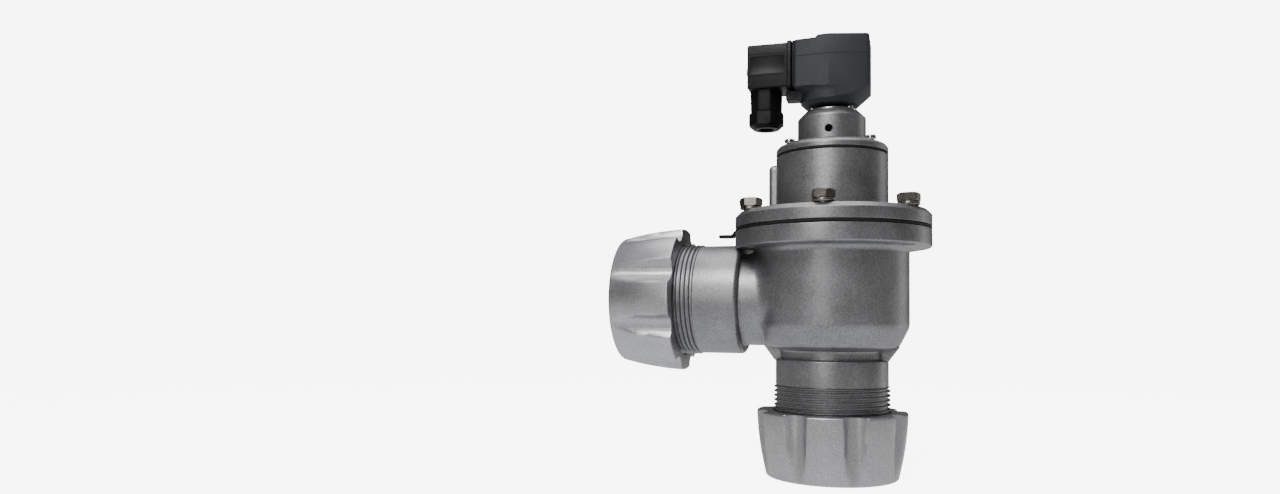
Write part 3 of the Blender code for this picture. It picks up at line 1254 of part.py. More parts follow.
def make_terminal_insert():
    side = PLUG_CAVITY_HALF_WIDTH - SEAT_GAP
    end = PLUG_CAVITY_HALF_HEIGHT - SEAT_GAP
    start = PLUG_FACE_X - SEAT_GAP
    insert = block(
        "terminal_insert", (start - INSERT_LENGTH, -side, PLUG_Z - end), (start, side, PLUG_Z + end),
        "coil_plastic")
    slots = [
        make_blade(f"{name}_slot", SEAT_GAP, start + CUT_PAST, BLADE_LENGTH, None)
        for name in blade_places()]
    cut(insert, make_plug_screw_hole("insert_screw_hole"), *slots)


def make_plug_screw():
    radius = PLUG_SCREW_DIAMETER / 2
    tip = -COIL_LEFT + PLUG_SCREW_GRIP
    head_start = PLUG_END_X - SEAT_GAP
    outline = [
        (0, tip),
        (radius, tip),
        (radius, head_start),
        (PLUG_SCREW_HEAD_RADIUS, head_start),
        (PLUG_SCREW_HEAD_RADIUS, head_start - PLUG_SCREW_HEAD_HEIGHT),
        (0, head_start - PLUG_SCREW_HEAD_HEIGHT),
    ]
    turned(
        "plug_screw", outline, "steel", sides=SMALL_SIDES, location=(0, 0, PLUG_Z),
        rotation=(0, pi / 2, 0))


def make_gland():
    """Cap nut, thrust washer and rubber sleeve that grip the cable; no cable is fitted."""
    top = GLAND_NECK_END_Z - SEAT_GAP
    place = {"location": (GLAND_X, 0, 0)}
    turned("gland_nut", [
        (GLAND_NUT_BORE, top),
        (GLAND_NUT_RADIUS, top),
        (GLAND_NUT_RADIUS, GLAND_NUT_Z + GLAND_NUT_CHAMFER),
        (GLAND_NUT_RADIUS - GLAND_NUT_CHAMFER, GLAND_NUT_Z),
        (CABLE_HOLE_RADIUS, GLAND_NUT_Z),
        (CABLE_HOLE_RADIUS, GLAND_NUT_SEAT_Z),
        (GLAND_NUT_BORE, GLAND_NUT_SEAT_Z),
    ], "plug_plastic", sides=SMALL_SIDES, **place)
    turned("gland_washer", [
        (CABLE_HOLE_RADIUS, GLAND_WASHER_TOP_Z),
        (GLAND_SPIGOT_RADIUS - SEAT_GAP, GLAND_WASHER_TOP_Z),
        (GLAND_SPIGOT_RADIUS - SEAT_GAP, GLAND_WASHER_Z),
        (CABLE_HOLE_RADIUS, GLAND_WASHER_Z),
    ], "seal_plastic", sides=SMALL_SIDES, **place)
    seal_bottom = GLAND_WASHER_TOP_Z + SEAT_GAP
    seal_top = seal_bottom + GLAND_SEAL_LENGTH
    seal_radius = GLAND_BORE_RADIUS - SEAT_GAP
    turned("gland_seal", [
        (CABLE_HOLE_RADIUS, seal_top),
        (seal_radius, seal_top),
        (seal_radius, seal_bottom),
        (CABLE_HOLE_RADIUS, seal_bottom),
    ], "rubber", sides=SMALL_SIDES, **place)


make_valve_body()
make_pipe_end("outlet", {"location": (0, 0, 0)})
make_pipe_end("inlet", inlet_place())
make_main_diaphragm()
make_main_disc_stack()
make_cover_housing()
make_pilot_diaphragm()
make_pilot_disc_stack()
make_pilot_cover()
make_fasteners()
make_stem()
make_plunger()
make_stem_rings()
make_coil_housing()
make_plug()
make_gland()
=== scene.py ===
"""Looks of a right-angle diaphragm pulse valve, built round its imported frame."""
from math import cos, pi, radians, sin, sqrt, tan

import bmesh
import bpy
from mathutils import Matrix, Vector


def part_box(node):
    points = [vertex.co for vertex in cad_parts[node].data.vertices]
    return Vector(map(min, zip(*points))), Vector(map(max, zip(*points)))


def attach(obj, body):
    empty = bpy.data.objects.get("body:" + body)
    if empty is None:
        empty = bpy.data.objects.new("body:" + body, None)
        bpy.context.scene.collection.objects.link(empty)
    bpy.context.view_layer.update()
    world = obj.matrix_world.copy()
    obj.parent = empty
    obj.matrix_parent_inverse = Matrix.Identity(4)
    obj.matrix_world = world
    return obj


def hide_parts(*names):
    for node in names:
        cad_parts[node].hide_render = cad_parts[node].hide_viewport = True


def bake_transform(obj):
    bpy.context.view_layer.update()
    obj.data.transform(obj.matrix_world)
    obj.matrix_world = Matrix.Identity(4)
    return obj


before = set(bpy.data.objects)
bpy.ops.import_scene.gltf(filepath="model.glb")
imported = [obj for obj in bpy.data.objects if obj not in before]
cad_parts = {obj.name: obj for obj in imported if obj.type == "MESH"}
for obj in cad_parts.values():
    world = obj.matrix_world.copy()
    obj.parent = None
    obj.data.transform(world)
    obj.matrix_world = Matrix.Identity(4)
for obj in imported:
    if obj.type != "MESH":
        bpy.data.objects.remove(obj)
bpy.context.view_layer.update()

# Camera: level with the bowl, in front of the valve and to its left, tipped up and rolled a little.
# The valve stands right of the picture's middle, as in the photograph.
cover_low, cover_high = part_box("cover_housing")
valve_axis = Vector(((cover_low[0] + cover_high[0]) / 2, 0, 0))
on_axis = Matrix.Translation(valve_axis)
view_turn = radians(17.1)
view_tilt = radians(2.05)
view_roll = radians(0.47)
eye_distance = 0.5740
eye_height = 0.1035
eye_to_left = 0.1247
view_back = Vector((sin(view_turn), -cos(view_turn), 0))
view_right = Vector((cos(view_turn), sin(view_turn), 0))
camera_data = bpy.data.cameras.new("camera")
camera_data.sensor_width = 36.0
camera_data.lens = 24.21
camera_data.shift_x = -0.0037
camera_data.shift_y = 0.0311
camera = bpy.data.objects.new("camera", camera_data)
camera.location = valve_axis + view_back * eye_distance - view_right * eye_to_left
camera.location.z = eye_height
camera.rotation_euler = (
    Matrix.Rotation(view_turn, 3, 'Z') @ Matrix.Rotation(pi / 2 + view_tilt, 3, 'X')
    @ Matrix.Rotation(view_roll, 3, 'Z')).to_euler()
bpy.context.scene.collection.objects.link(camera)
bpy.context.scene.camera = camera


# Floor: one pale, evenly lit sheet that the valve stands on and that curves up all round it.
# Only the camera sees it, so the metal mirrors the lights and the room and not the sheet.
def spun(shape, items, angle, steps, rise=0.0, closed=False):
    """Sweeps items round the Z axis, with a rise at each step, and returns the last ones."""
    return bmesh.ops.spin(
        shape, geom=items, cent=(0, 0, 0), axis=(0, 0, 1), dvec=(0, 0, rise), angle=angle,
        steps=steps, use_merge=closed, use_duplicate=False)["geom_last"]


def tidy(shape):
    bmesh.ops.recalc_face_normals(shape, faces=shape.faces)
    return shape


def turn(points, steps=128):
    """A bmesh turned round the Z axis from (radius, height); an outline off the axis is closed."""
    shape = bmesh.new()
    verts = [shape.verts.new((radius, 0, height)) for radius, height in points]
    for first, second in zip(verts, verts[1:]):
        shape.edges.new((first, second))
    if points[0][0] > 0:
        shape.edges.new((verts[-1], verts[0]))
    spun(shape, shape.verts[:] + shape.edges[:], 2 * pi, steps, closed=True)
    bmesh.ops.remove_doubles(shape, verts=shape.verts, dist=1e-6)
    return tidy(shape)


def to_object(shape, name, place=on_axis):
    """A new object whose place is in its mesh."""
    shape.transform(place)
    mesh = bpy.data.meshes.new(name)
    shape.to_mesh(mesh)
    shape.free()
    made = bpy.data.objects.new(name, mesh)
    bpy.context.scene.collection.objects.link(made)
    return made


def fill(node, **values):
    """A shader node with its inputs set; an underscore stands for a space in their names."""
    for label, value in values.items():
        node.inputs[label.replace("_", " ")].default_value = value
    return node


floor_radius = 2.2
sweep_radius = 1.0
wall_height = 5.0
floor_profile = [(0.0, 0.0), (floor_radius, 0.0)]
floor_profile += [
    (floor_radius + sweep_radius * sin(radians(angle)), sweep_radius * (1 - cos(radians(angle))))
    for angle in range(10, 100, 10)]
floor_profile.append((floor_radius + sweep_radius, wall_height))
floor_shape = turn(floor_profile, steps=96)
bmesh.ops.reverse_faces(floor_shape, faces=floor_shape.faces)
floor = to_object(floor_shape, "floor", Matrix.Identity(4))
floor.data.shade_smooth()
floor.visible_glossy = False
floor.visible_diffuse = False
floor.visible_shadow = False
floor_paint = bpy.data.materials.new("pale_floor")
floor_paint.use_nodes = True
fill(
    floor_paint.node_tree.nodes["Principled BSDF"], Base_Color=(0.86, 0.86, 0.86, 1), Roughness=0.9,
    Emission_Color=(1, 1, 1, 1), Emission_Strength=7.0)
floor.data.materials.append(floor_paint)


# Lights: a soft box high in front, a low one left of it, one overhead, and a narrow one far
# behind on the right for the rims. The room is dark at eye level and pale below and above.
def soft_light(name, power, size, place, target):
    lamp = bpy.data.lights.new(name, 'AREA')
    lamp.energy = power
    lamp.shape = 'RECTANGLE'
    lamp.size, lamp.size_y = size
    light = bpy.data.objects.new(name, lamp)
    light.location = place
    aim = Vector(target) - Vector(place)
    light.rotation_euler = aim.to_track_quat('-Z', 'Y').to_euler()
    bpy.context.scene.collection.objects.link(light)


def add_node(tree, kind, **values):
    return fill(tree.nodes.new(f"ShaderNode{kind}"), **values)


def connect(tree, *links):
    """Joins shader nodes; each link is a node, its output, the next node and its input."""
    for source, output, target, label in links:
        tree.links.new(source.outputs[output], target.inputs[label])


soft_light("key_light", 10.0, (0.36, 0.40), (-0.14, -0.80, 0.95), (0.02, 0, 0.14))
soft_light("front_light", 2.4, (0.20, 0.40), (-0.20, -1.25, 0.36), (0.04, 0, 0.17))
soft_light("top_light", 6.0, (0.8, 0.8), (0.0, 0.1, 1.10), (0.04, 0, 0.15))
soft_light("rim_light", 0.9, (0.2, 0.8), (0.75, 0.55, 0.25), (0.04, 0, 0.13))
room = bpy.data.worlds.new("studio")
room.use_nodes = True
room_tree = room.node_tree
direction = add_node(room_tree, "TexCoord")
upward_part = add_node(room_tree, "SeparateXYZ")
height_share = add_node(room_tree, "MapRange", From_Min=-1.0)
room_tone = add_node(room_tree, "ValToRGB")
room_tone.color_ramp.elements[0].color = (1.17, 1.19, 1.22, 1)
room_tone.color_ramp.elements[1].color = (0.49, 0.50, 0.52, 1)
for share, tone in ((0.40, 0.80), (0.46, 0.40), (0.50, 0.02), (0.64, 0.02)):
    room_tone.color_ramp.elements.new(share).color = (tone, tone, tone, 1)
connect(
    room_tree, (direction, "Generated", upward_part, "Vector"), (upward_part, "Z", height_share, "Value"),
    (height_share, "Result", room_tone, "Fac"),
    (room_tone, "Color", room_tree.nodes["Background"], "Color"))
bpy.context.scene.world = room


# Valve body: one aluminium casting with bowl, bolting flange, inlet and outlet tubes.
# It is cast, machined on its faces and threads, then bead-blasted and sealed grey.
def rounded(corners, degrees_per_step=10):
    """Outline points from corners (radius, height, rounding); rounding may be left out."""
    points = []
    count = len(corners)
    for index, corner in enumerate(corners):
        here = Vector(corner[:2])
        rounding = corner[2] if len(corner) > 2 else 0.0
        if rounding == 0.0:
            points.append(tuple(here))
            continue
        before = Vector(corners[index - 1][:2]) - here
        after = Vector(corners[(index + 1) % count][:2]) - here
        opening = before.angle(after)
        reach = min(rounding / tan(opening / 2), before.length * 0.49, after.length * 0.49)
        true_radius = reach * tan(opening / 2)
        centre = here + (before.normalized() + after.normalized()).normalized() * (
            true_radius / sin(opening / 2))
        first = here + before.normalized() * reach - centre
        last = here + after.normalized() * reach - centre
        sweep = first.angle_signed(last)
        steps = max(2, round(abs(sweep) / radians(degrees_per_step)))
        for step in range(steps + 1):
            turned_arm = first.copy()
            turned_arm.rotate(Matrix.Rotation(-sweep * step / steps, 2))
            points.append(tuple(centre + turned_arm))
    return points


def combine(piece, shape, operation, place):
    """Boolean of a piece with a closed bmesh, which is used up by it."""
    tool = to_object(tidy(shape), "tool", place)
    change = piece.modifiers.new("combine", 'BOOLEAN')
    change.operation = operation
    change.solver = 'EXACT'
    change.object = tool
    bpy.context.view_layer.update()
    graph = bpy.context.evaluated_depsgraph_get()
    result = bpy.data.meshes.new_from_object(piece.evaluated_get(graph))
    piece.modifiers.clear()
    result.name = piece.name
    piece.data = result
    bpy.data.objects.remove(tool, do_unlink=True)


def join(piece, shape, place=on_axis):
    combine(piece, shape, 'UNION', place)


def cut(piece, shape, place=on_axis):
    combine(piece, shape, 'DIFFERENCE', place)


def rod(sides, low_radius, high_radius, bottom, top, middle=(0, 0)):
    """A closed upright prism or cone."""
    shape = bmesh.new()
    bmesh.ops.create_cone(
        shape, cap_ends=True, segments=sides, radius1=low_radius, radius2=high_radius,
        depth=top - bottom, matrix=Matrix.Translation((*middle, (bottom + top) / 2)))
    return shape


def spots(circle, count):
    """Angles and places evenly round the valve's axis, the first at the back."""
    angles = [pi / 2 + index * 2 * pi / count for index in range(count)]
    return [(angle, (circle * cos(angle), circle * sin(angle))) for angle in angles]


def drills(radius, circle, count, bottom, top):
    """A ring of upright cylinders round the valve's axis, for holes and for screw posts."""
    ring = bmesh.new()
    for _, (x, y) in spots(circle, count):
        bmesh.ops.create_cone(
            ring, cap_ends=True, segments=32, radius1=radius, radius2=radius, depth=top - bottom,
            matrix=Matrix.Translation((x, y, (bottom + top) / 2)))
    return ring


def extruded(outline, along):
    """A solid pulled out of a flat outline of points."""
    shape = bmesh.new()
    face = shape.faces.new([shape.verts.new(point) for point in outline])
    pulled = bmesh.ops.extrude_face_region(shape, geom=[face])["geom"]
    bmesh.ops.translate(
        shape, verts=[item for item in pulled if isinstance(item, bmesh.types.BMVert)], vec=along)
    return shape


def soften(shape, edges, offset, segments=4):
    bmesh.ops.bevel(
        shape, geom=edges, offset=offset, segments=segments, affect='EDGES', profile=0.5, material=-1)


def block(low, high, rounding=0.0, segments=4):
    """A block between two corners, with rounded edges where a rounding is given."""
    low, high = Vector(low), Vector(high)
    shape = bmesh.new()
    bmesh.ops.create_cube(
        shape, size=1.0, matrix=Matrix.Translation((low + high) / 2) @ Matrix.Diagonal((*(high - low), 1)))
    if rounding:
        soften(shape, shape.edges[:], rounding, segments)
    return shape


def slice_at(shape, point, normal, clear=False):
    bmesh.ops.bisect_plane(
        shape, geom=shape.verts[:] + shape.edges[:] + shape.faces[:], dist=1e-7,
        plane_co=point, plane_no=normal, clear_outer=clear)


def edges_in(items):
    return [item for item in items if isinstance(item, bmesh.types.BMEdge)]


def tube_thread(top):
    """A solid rod with the right-hand thread of both tubes, trimmed flat at both ends."""
    steps = 72
    shape = bmesh.new()
    tooth = [
        (thread_root, 0.0), (thread_root, 0.14), (thread_crest, 0.42), (thread_crest, 0.58),
        (thread_root, 0.86), (thread_root, 1.0)]
    start = tube_end - 1.5 * thread_pitch
    verts = [shape.verts.new((radius, 0, start + share * thread_pitch)) for radius, share in tooth]
    edges = [shape.edges.new(pair) for pair in zip(verts, verts[1:])]
    turns = int((top - tube_end) / thread_pitch) + 3
    spun(shape, verts + edges, 2 * pi * turns, steps * turns, thread_pitch / steps)
    bmesh.ops.remove_doubles(shape, verts=shape.verts, dist=2e-6)
    for height, sign in ((tube_end, -1), (top, 1)):
        slice_at(shape, (0, 0, height), (0, 0, sign), clear=True)
        bmesh.ops.contextual_create(shape, geom=[
            edge for edge in shape.edges
            if edge.is_boundary and all(abs(vert.co.z - height) < 1e-6 for vert in edge.verts)])
    return shape


inlet_low, inlet_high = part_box("inlet_nut")
inlet_height = (inlet_low[2] + inlet_high[2]) / 2
inlet_place = Matrix.Translation((inlet_low[0], 0, inlet_height)) @ Matrix.Rotation(pi / 2, 4, 'Y')
inlet_reach = valve_axis.x - inlet_low[0]
body_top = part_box("valve_body")[1][2]
flange_radius = (cover_high[0] - cover_low[0]) / 2
flange_underside = body_top - 0.0114
bowl_radius = 0.0499
bowl_bore = 0.0449
bowl_shoulder = 0.0985
bowl_underside = 0.0855
underside_radius = 0.0433
tube_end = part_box("valve_body")[0][2]
socket_radius = 0.02475
passage_radius = 0.0225
thread_crest = 0.0378
thread_root = 0.0361
thread_pitch = 0.0030
tube_radius = 0.0367
outlet_thread_top = 0.0600
outlet_tube_top = 0.0768
neck_radius = 0.0338
seat_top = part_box("main_seat_disc")[0][2] - 0.0003
valve_body = to_object(turn(rounded([
    (0.0, body_top),
    (flange_radius, body_top, 0.0004),
    (flange_radius, flange_underside, 0.0012),
    (bowl_radius, flange_underside, 0.0042),
    (bowl_radius, bowl_shoulder, 0.0100),
    (underside_radius, bowl_underside, 0.0035),
    (neck_radius, bowl_underside - 0.0022, 0.0020),
    (neck_radius, outlet_tube_top + 0.0004, 0.0012),
    (tube_radius, outlet_tube_top, 0.0008),
    (tube_radius, outlet_thread_top),
    (thread_root - 0.0004, outlet_thread_top - 0.0006),
    (thread_root - 0.0004, tube_end + 0.001),
    (0.0, tube_end + 0.001)])), "valve_body_casting")
join(valve_body, tube_thread(outlet_thread_top - 0.0004))

collar_radius = 0.0370
collar_start = 0.0556
collar_end = 0.0852
inlet_neck_radius = 0.0312
join(valve_body, turn(rounded([
    (0.0, collar_end + 0.004),
    (inlet_neck_radius - 0.0003, collar_end + 0.004),
    (inlet_neck_radius - 0.0003, collar_end, 0.0010),
    (collar_radius, collar_end, 0.0022),
    (collar_radius, collar_start, 0.0006),
    (thread_root - 0.0004, collar_start, 0.0002),
    (thread_root - 0.0004, tube_end + 0.001),
    (0.0, tube_end + 0.001)])), inlet_place)
join(valve_body, tube_thread(collar_start + 0.0002), inlet_place)


def bowl_radius_at(height):
    """Outer radius of the bowl where the inlet's neck runs into it."""
    share = (height - bowl_underside) / (bowl_shoulder - bowl_underside)
    return underside_radius + (bowl_radius - underside_radius) * min(max(share, 0.0), 1.0)


neck_fillet = 0.0060
fillet_steps = 8
sunk = 0.0012
core_radius = 0.012
neck_shape = bmesh.new()
neck_start = bmesh.ops.create_circle(
    neck_shape, cap_ends=True, segments=128, radius=inlet_neck_radius)["verts"]
neck_loop = neck_shape.edges[:]
for row in [0] + list(range(fillet_steps + 2)):
    pulled = bmesh.ops.extrude_edge_only(neck_shape, edges=neck_loop)["geom"]
    neck_loop = [edge for edge in edges_in(pulled) if edge.is_boundary]
    for vert in {vert for edge in neck_loop for vert in edge.verts}:
        around = vert.co.xy.normalized()
        upward = -around.x
        fillet = neck_fillet * min(max((upward + 0.95) / 0.8, 0.06), 1.0)
        quarter = pi / 2 * min(row / fillet_steps, 1.0)
        radius = inlet_neck_radius + fillet * (1 - cos(quarter))
        stand_off = fillet * (1 - sin(quarter))
        if row == fillet_steps + 1:
            stand_off = -sunk
            radius += 0.0003
        height = inlet_height + upward * radius
        side = around.y * radius
        reach_in = sqrt(bowl_radius_at(height) ** 2 - side ** 2) + stand_off
        vert.co = (around.x * radius, around.y * radius, inlet_reach - reach_in)
pulled = bmesh.ops.extrude_edge_only(neck_shape, edges=neck_loop)["geom"]
neck_loop = [edge for edge in edges_in(pulled) if edge.is_boundary]
for vert in {vert for edge in neck_loop for vert in edge.verts}:
    around = vert.co.xy.normalized()
    vert.co = (around.x * core_radius, around.y * core_radius, inlet_reach - 0.033)
bmesh.ops.contextual_create(neck_shape, geom=neck_loop)
bmesh.ops.translate(neck_shape, verts=neck_start, vec=(0, 0, collar_end + 0.002))
join(valve_body, neck_shape, inlet_place)

web_half_width = 0.0040
join(valve_body, block(
    (collar_end - inlet_reach - 0.0006, -web_half_width, inlet_height + inlet_neck_radius - 0.0012),
    (0.0008 - bowl_radius, web_half_width, flange_underside + 0.0004)))
gusset_half_width = 0.009
gusset_top = 0.0880
for sign in (-1, 1):
    profile = [
        (0.030, outlet_tube_top - 0.0008), (tube_radius - 0.0002, outlet_tube_top - 0.0008),
        (underside_radius + 0.0002, bowl_underside - 0.0002), (underside_radius - 0.001, gusset_top),
        (0.030, gusset_top)]
    join(valve_body, extruded(
        [(sign * x, -gusset_half_width, z) for x, z in profile], (0, 2 * gusset_half_width, 0)))

socket_end = 0.052
recess_radius = 0.0335
seat_tube_radius = 0.0280
socket_outline = [
    (passage_radius, socket_end), (socket_radius, socket_end), (socket_radius, 0.02575),
    (recess_radius, 0.0170), (recess_radius, tube_end - 0.002), (0.0, tube_end - 0.002)]
cut(valve_body, turn(rounded([
    (0.0, body_top + 0.002),
    (bowl_bore, body_top + 0.002),
    (bowl_bore, bowl_shoulder, 0.006),
    (underside_radius - 0.005, bowl_underside + 0.006, 0.003),
    (seat_tube_radius, bowl_underside + 0.006, 0.003),
    (seat_tube_radius, seat_top - 0.0015),
    (passage_radius + 0.0025, seat_top),
    (0.0, seat_top)])))
for bore_end, place in ((seat_top - 0.0004, on_axis), (inlet_reach - 0.0335, inlet_place)):
    cut(valve_body, turn([(0.0, bore_end), (passage_radius, bore_end), *socket_outline]), place)
bolt_circle_radius = 0.057
bolt_hole_radius = 0.0043
cut(valve_body, drills(
    bolt_hole_radius, bolt_circle_radius, 6, flange_underside - 0.001, body_top + 0.001))


def mottled(name, dark, light, metallic, roughness, grain_scale, cloud_scale, relief, specular=0.5):
    """A finish with fine grain and soft clouding in its colour, gloss and relief."""
    made = bpy.data.materials.new(name)
    made.use_nodes = True
    tree = made.node_tree
    shader = fill(tree.nodes["Principled BSDF"], Metallic=metallic, Specular_IOR_Level=specular)
    place = add_node(tree, "TexCoord")
    grain = add_node(tree, "TexNoise", Scale=grain_scale, Detail=3)
    cloud = add_node(tree, "TexNoise", Scale=cloud_scale, Detail=5)
    mix = add_node(tree, "Mix", Factor=0.3)
    tint = add_node(tree, "ValToRGB")
    for element, position, tone in zip(tint.color_ramp.elements, (0.38, 0.64), (dark, light)):
        element.position = position
        element.color = (*tone, 1)
    gloss = add_node(
        tree, "MapRange", From_Min=0.3, From_Max=0.7, To_Min=roughness - 0.02, To_Max=roughness + 0.03)
    bump = add_node(tree, "Bump", Strength=0.2, Distance=relief)
    connect(
        tree, (place, "Object", grain, "Vector"), (place, "Object", cloud, "Vector"),
        (grain, "Fac", mix, "A"), (cloud, "Fac", mix, "B"), (mix, "Result", tint, "Fac"),
        (tint, "Color", shader, "Base Color"), (cloud, "Fac", gloss, "Value"),
        (gloss, "Result", shader, "Roughness"), (grain, "Fac", bump, "Height"),
        (bump, "Normal", shader, "Normal"))
    return made


def shade(piece, sharp_degrees=32):
    piece.data.shade_smooth()
    piece.data.set_sharp_from_angle(angle=radians(sharp_degrees))


def dress(piece, material, node, body=None, sharp_degrees=32):
    """Smoothing, material, body and the hidden node that the piece stands for."""
    shade(piece, sharp_degrees)
    piece.data.materials.clear()
    piece.data.materials.append(material)
    if body:
        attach(piece, body)
    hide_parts(node)


cast_metal = mottled(
    "cast_metal", (0.195, 0.195, 0.20), (0.320, 0.320, 0.330), 0.85, 0.41, 1000, 60, 0.0002)
dress(valve_body, cast_metal, "valve_body", "root")

# Main diaphragm: a moulded rubber sheet clamped between body and cover, with a tab that
# shows outside above the inlet. Its middle lifts with the disc.
rubber = mottled(
    "rubber", (0.004, 0.004, 0.004), (0.010, 0.010, 0.0105), 0.0, 0.66, 900, 120, 0.00008, 0.25)


def swept(outline, angle, steps, rise=0.0):
    """A solid whose outline of (radius, height) goes part of a turn, capped at both ends."""
    shape = bmesh.new()
    verts = [shape.verts.new((radius, 0, height)) for radius, height in outline]
    edges = [shape.edges.new((verts[index - 1], verts[index])) for index in range(len(verts))]
    far_edges = edges_in(spun(shape, verts + edges, angle, steps, rise))
    bmesh.ops.contextual_create(shape, geom=edges)
    bmesh.ops.contextual_create(shape, geom=far_edges)
    return tidy(shape)


def flexing_sheet(node, disc_body, bottom, thickness, radii, dip, rim_holes, tab=None):
    """A clamped rim, a middle on the disc's body, and a roll in sectors between them."""
    hole, roll_inner, roll_outer, rim = radii
    top = bottom + thickness
    rim_piece = to_object(turn(rounded([
        (roll_outer, top), (rim, top, thickness * 0.3), (rim, bottom, thickness * 0.3),
        (roll_outer, bottom)])), f"{node}_rim")
    if tab is not None:
        join(rim_piece, tab)
    cut(rim_piece, rim_holes)
    dress(rim_piece, rubber, node, "root")
    middle = to_object(turn([
        (hole, top), (roll_inner, top), (roll_inner, bottom), (hole, bottom)]), f"{node}_middle")
    dress(middle, rubber, node, disc_body)
    sectors = 12
    points_across = 12
    width = 2 * pi / sectors
    dips = [
        (roll_inner + (roll_outer - roll_inner) * point / points_across,
         dip * (1 - cos(2 * pi * point / points_across)) / 2)
        for point in range(points_across + 1)]
    outline = [(radius, top - fall) for radius, fall in dips]
    outline += [(radius, bottom - fall) for radius, fall in reversed(dips)]
    for sector in range(sectors):
        start_angle = sector * width
        roll = to_object(
            swept(outline, width, 8), f"{node}_roll_{sector + 1}",
            on_axis @ Matrix.Rotation(start_angle, 4, 'Z'))
        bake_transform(roll)
        dress(roll, rubber, node)


diaphragm_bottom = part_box("cover_housing")[0][2] - 0.0021
diaphragm_thickness = 0.0018
tab_inner = -flange_radius + 0.003
tab_tip = -flange_radius - 0.0124
tab_half_width = 0.0055
tab_corner = 0.0035
tab_droop = 0.0030
bend_length = 0.0032
bend_steps = 8
tab_shape = extruded(
    [(x, y, diaphragm_bottom + 0.00003) for x, y in rounded([
        (tab_inner, -tab_half_width), (tab_inner, tab_half_width),
        (tab_tip, tab_half_width, tab_corner), (tab_tip, -tab_half_width, tab_corner)])],
    (0, 0, diaphragm_thickness - 0.00006))
for step in range(1, bend_steps + 1):
    slice_at(tab_shape, (-flange_radius - bend_length * step / bend_steps, 0, 0), (1, 0, 0))
for vert in tab_shape.verts:
    share = min(max((-flange_radius - vert.co.x) / bend_length, 0.0), 1.0)
    vert.co.z -= tab_droop * share * share * (3 - 2 * share)
flexing_sheet(
    "main_diaphragm", "main_disc", diaphragm_bottom, diaphragm_thickness,
    (0.0033, 0.0300, 0.0434, flange_radius), 0.0022,
    drills(bolt_hole_radius, bolt_circle_radius, 6, diaphragm_bottom - 0.001, diaphragm_bottom + 0.003),
    tab_shape)


# Main disc: a pressed steel retainer above the diaphragm and a plastic seat disc below it,
# riveted together through its middle, and the return spring that pushes them down.
def turned_metal(name, dark, light, roughness):
    """Bright metal with the fine rings that a lathe leaves about the valve's axis."""
    made = mottled(name, dark, light, 1.0, roughness, 1800, 90, 0.00002)
    tree = made.node_tree
    centre = add_node(tree, "Mapping", Location=(-valve_axis.x, 0, 0))
    rings = add_node(tree, "TexWave", Scale=700, Distortion=0.4)
    rings.wave_type = 'RINGS'
    rings.rings_direction = 'Z'
    groove = add_node(tree, "Bump", Strength=0.12, Distance=0.00004)
    connect(
        tree, (tree.nodes["Texture Coordinate"], "Object", centre, "Vector"),
        (centre, "Vector", rings, "Vector"), (rings, "Fac", groove, "Height"),
        (tree.nodes["Bump"], "Normal", groove, "Normal"),
        (groove, "Normal", tree.nodes["Principled BSDF"], "Normal"))
    return made


def turned_piece(node, corners, material, body, place=on_axis, steps=96):
    """A revolved piece that stands for the node of nearly the same name."""
    piece = to_object(turn(rounded(corners), steps), f"{node}_turned", place)
    dress(piece, material, node, body)
    return piece


def spring(node, wire, turns, bottom, top, radii):
    """A compression spring with closed ends, wound between two heights."""
    bottom_radius, top_radius = radii
    steps_per_turn = 28
    shape = bmesh.new()
    start = Matrix.Translation((bottom_radius, 0, bottom + wire / 2)) @ Matrix.Rotation(pi / 2, 4, 'X')
    bmesh.ops.create_circle(shape, cap_ends=False, segments=10, radius=wire / 2, matrix=start)
    first = shape.edges[:]
    rung = shape.verts[:] + first
    open_turns = turns - 2
    open_pitch = (top - bottom - 3 * wire) / open_turns
    for share, pitch in ((1, wire), (open_turns, open_pitch), (1, wire)):
        steps = round(share * steps_per_turn)
        rung = spun(shape, rung, 2 * pi * share, steps, pitch * share / steps)
    bmesh.ops.contextual_create(shape, geom=first)
    bmesh.ops.contextual_create(shape, geom=edges_in(rung))
    for vert in shape.verts:
        share = (vert.co.z - bottom) / (top - bottom)
        vert.co.xy *= (bottom_radius + (top_radius - bottom_radius) * share) / bottom_radius
    piece = to_object(tidy(shape), f"{node}_wound")
    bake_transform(piece)
    dress(piece, bright_steel, node, sharp_degrees=60)


bright_steel = turned_metal("bright_steel", (0.50, 0.50, 0.50), (0.68, 0.68, 0.67), 0.24)
seal_plastic = mottled(
    "seal_plastic", (0.44, 0.41, 0.34), (0.56, 0.53, 0.46), 0.0, 0.5, 700, 80, 0.00003)
cover_seat = cover_low[2]
retainer_top = cover_seat + 0.003
boss_top = retainer_top + 0.003
turned_piece("main_retainer", [
    (0.0033, boss_top), (0.0110, boss_top, 0.0010), (0.0110, retainer_top, 0.0008),
    (0.0265, retainer_top, 0.0010), (0.0265, cover_seat, 0.0004), (0.0033, cover_seat)],
    bright_steel, "main_disc")
seat_disc_bottom = body_top - 0.0027
turned_piece("main_seat_disc", [
    (0.0033, body_top), (seat_tube_radius, body_top, 0.0004),
    (seat_tube_radius, seat_disc_bottom, 0.0005), (0.0033, seat_disc_bottom)],
    seal_plastic, "main_disc")
rivet_radius = 0.0030
turned_piece("main_rivet", [
    (0.0, boss_top + 0.0023), (0.0065, boss_top + 0.0023, 0.0015), (0.0065, boss_top + 0.0003),
    (rivet_radius, boss_top + 0.0003), (rivet_radius, seat_disc_bottom - 0.0003),
    (0.0065, seat_disc_bottom - 0.0003), (0.0065, seat_disc_bottom - 0.0023, 0.0015),
    (0.0, seat_disc_bottom - 0.0023)], bright_steel, "main_disc")
deck_bottom = cover_seat + 0.0249
spring(
    "main_spring", 0.0018, 4.5, retainer_top + 0.0003, deck_bottom - 0.0003, (0.0155, 0.0155))

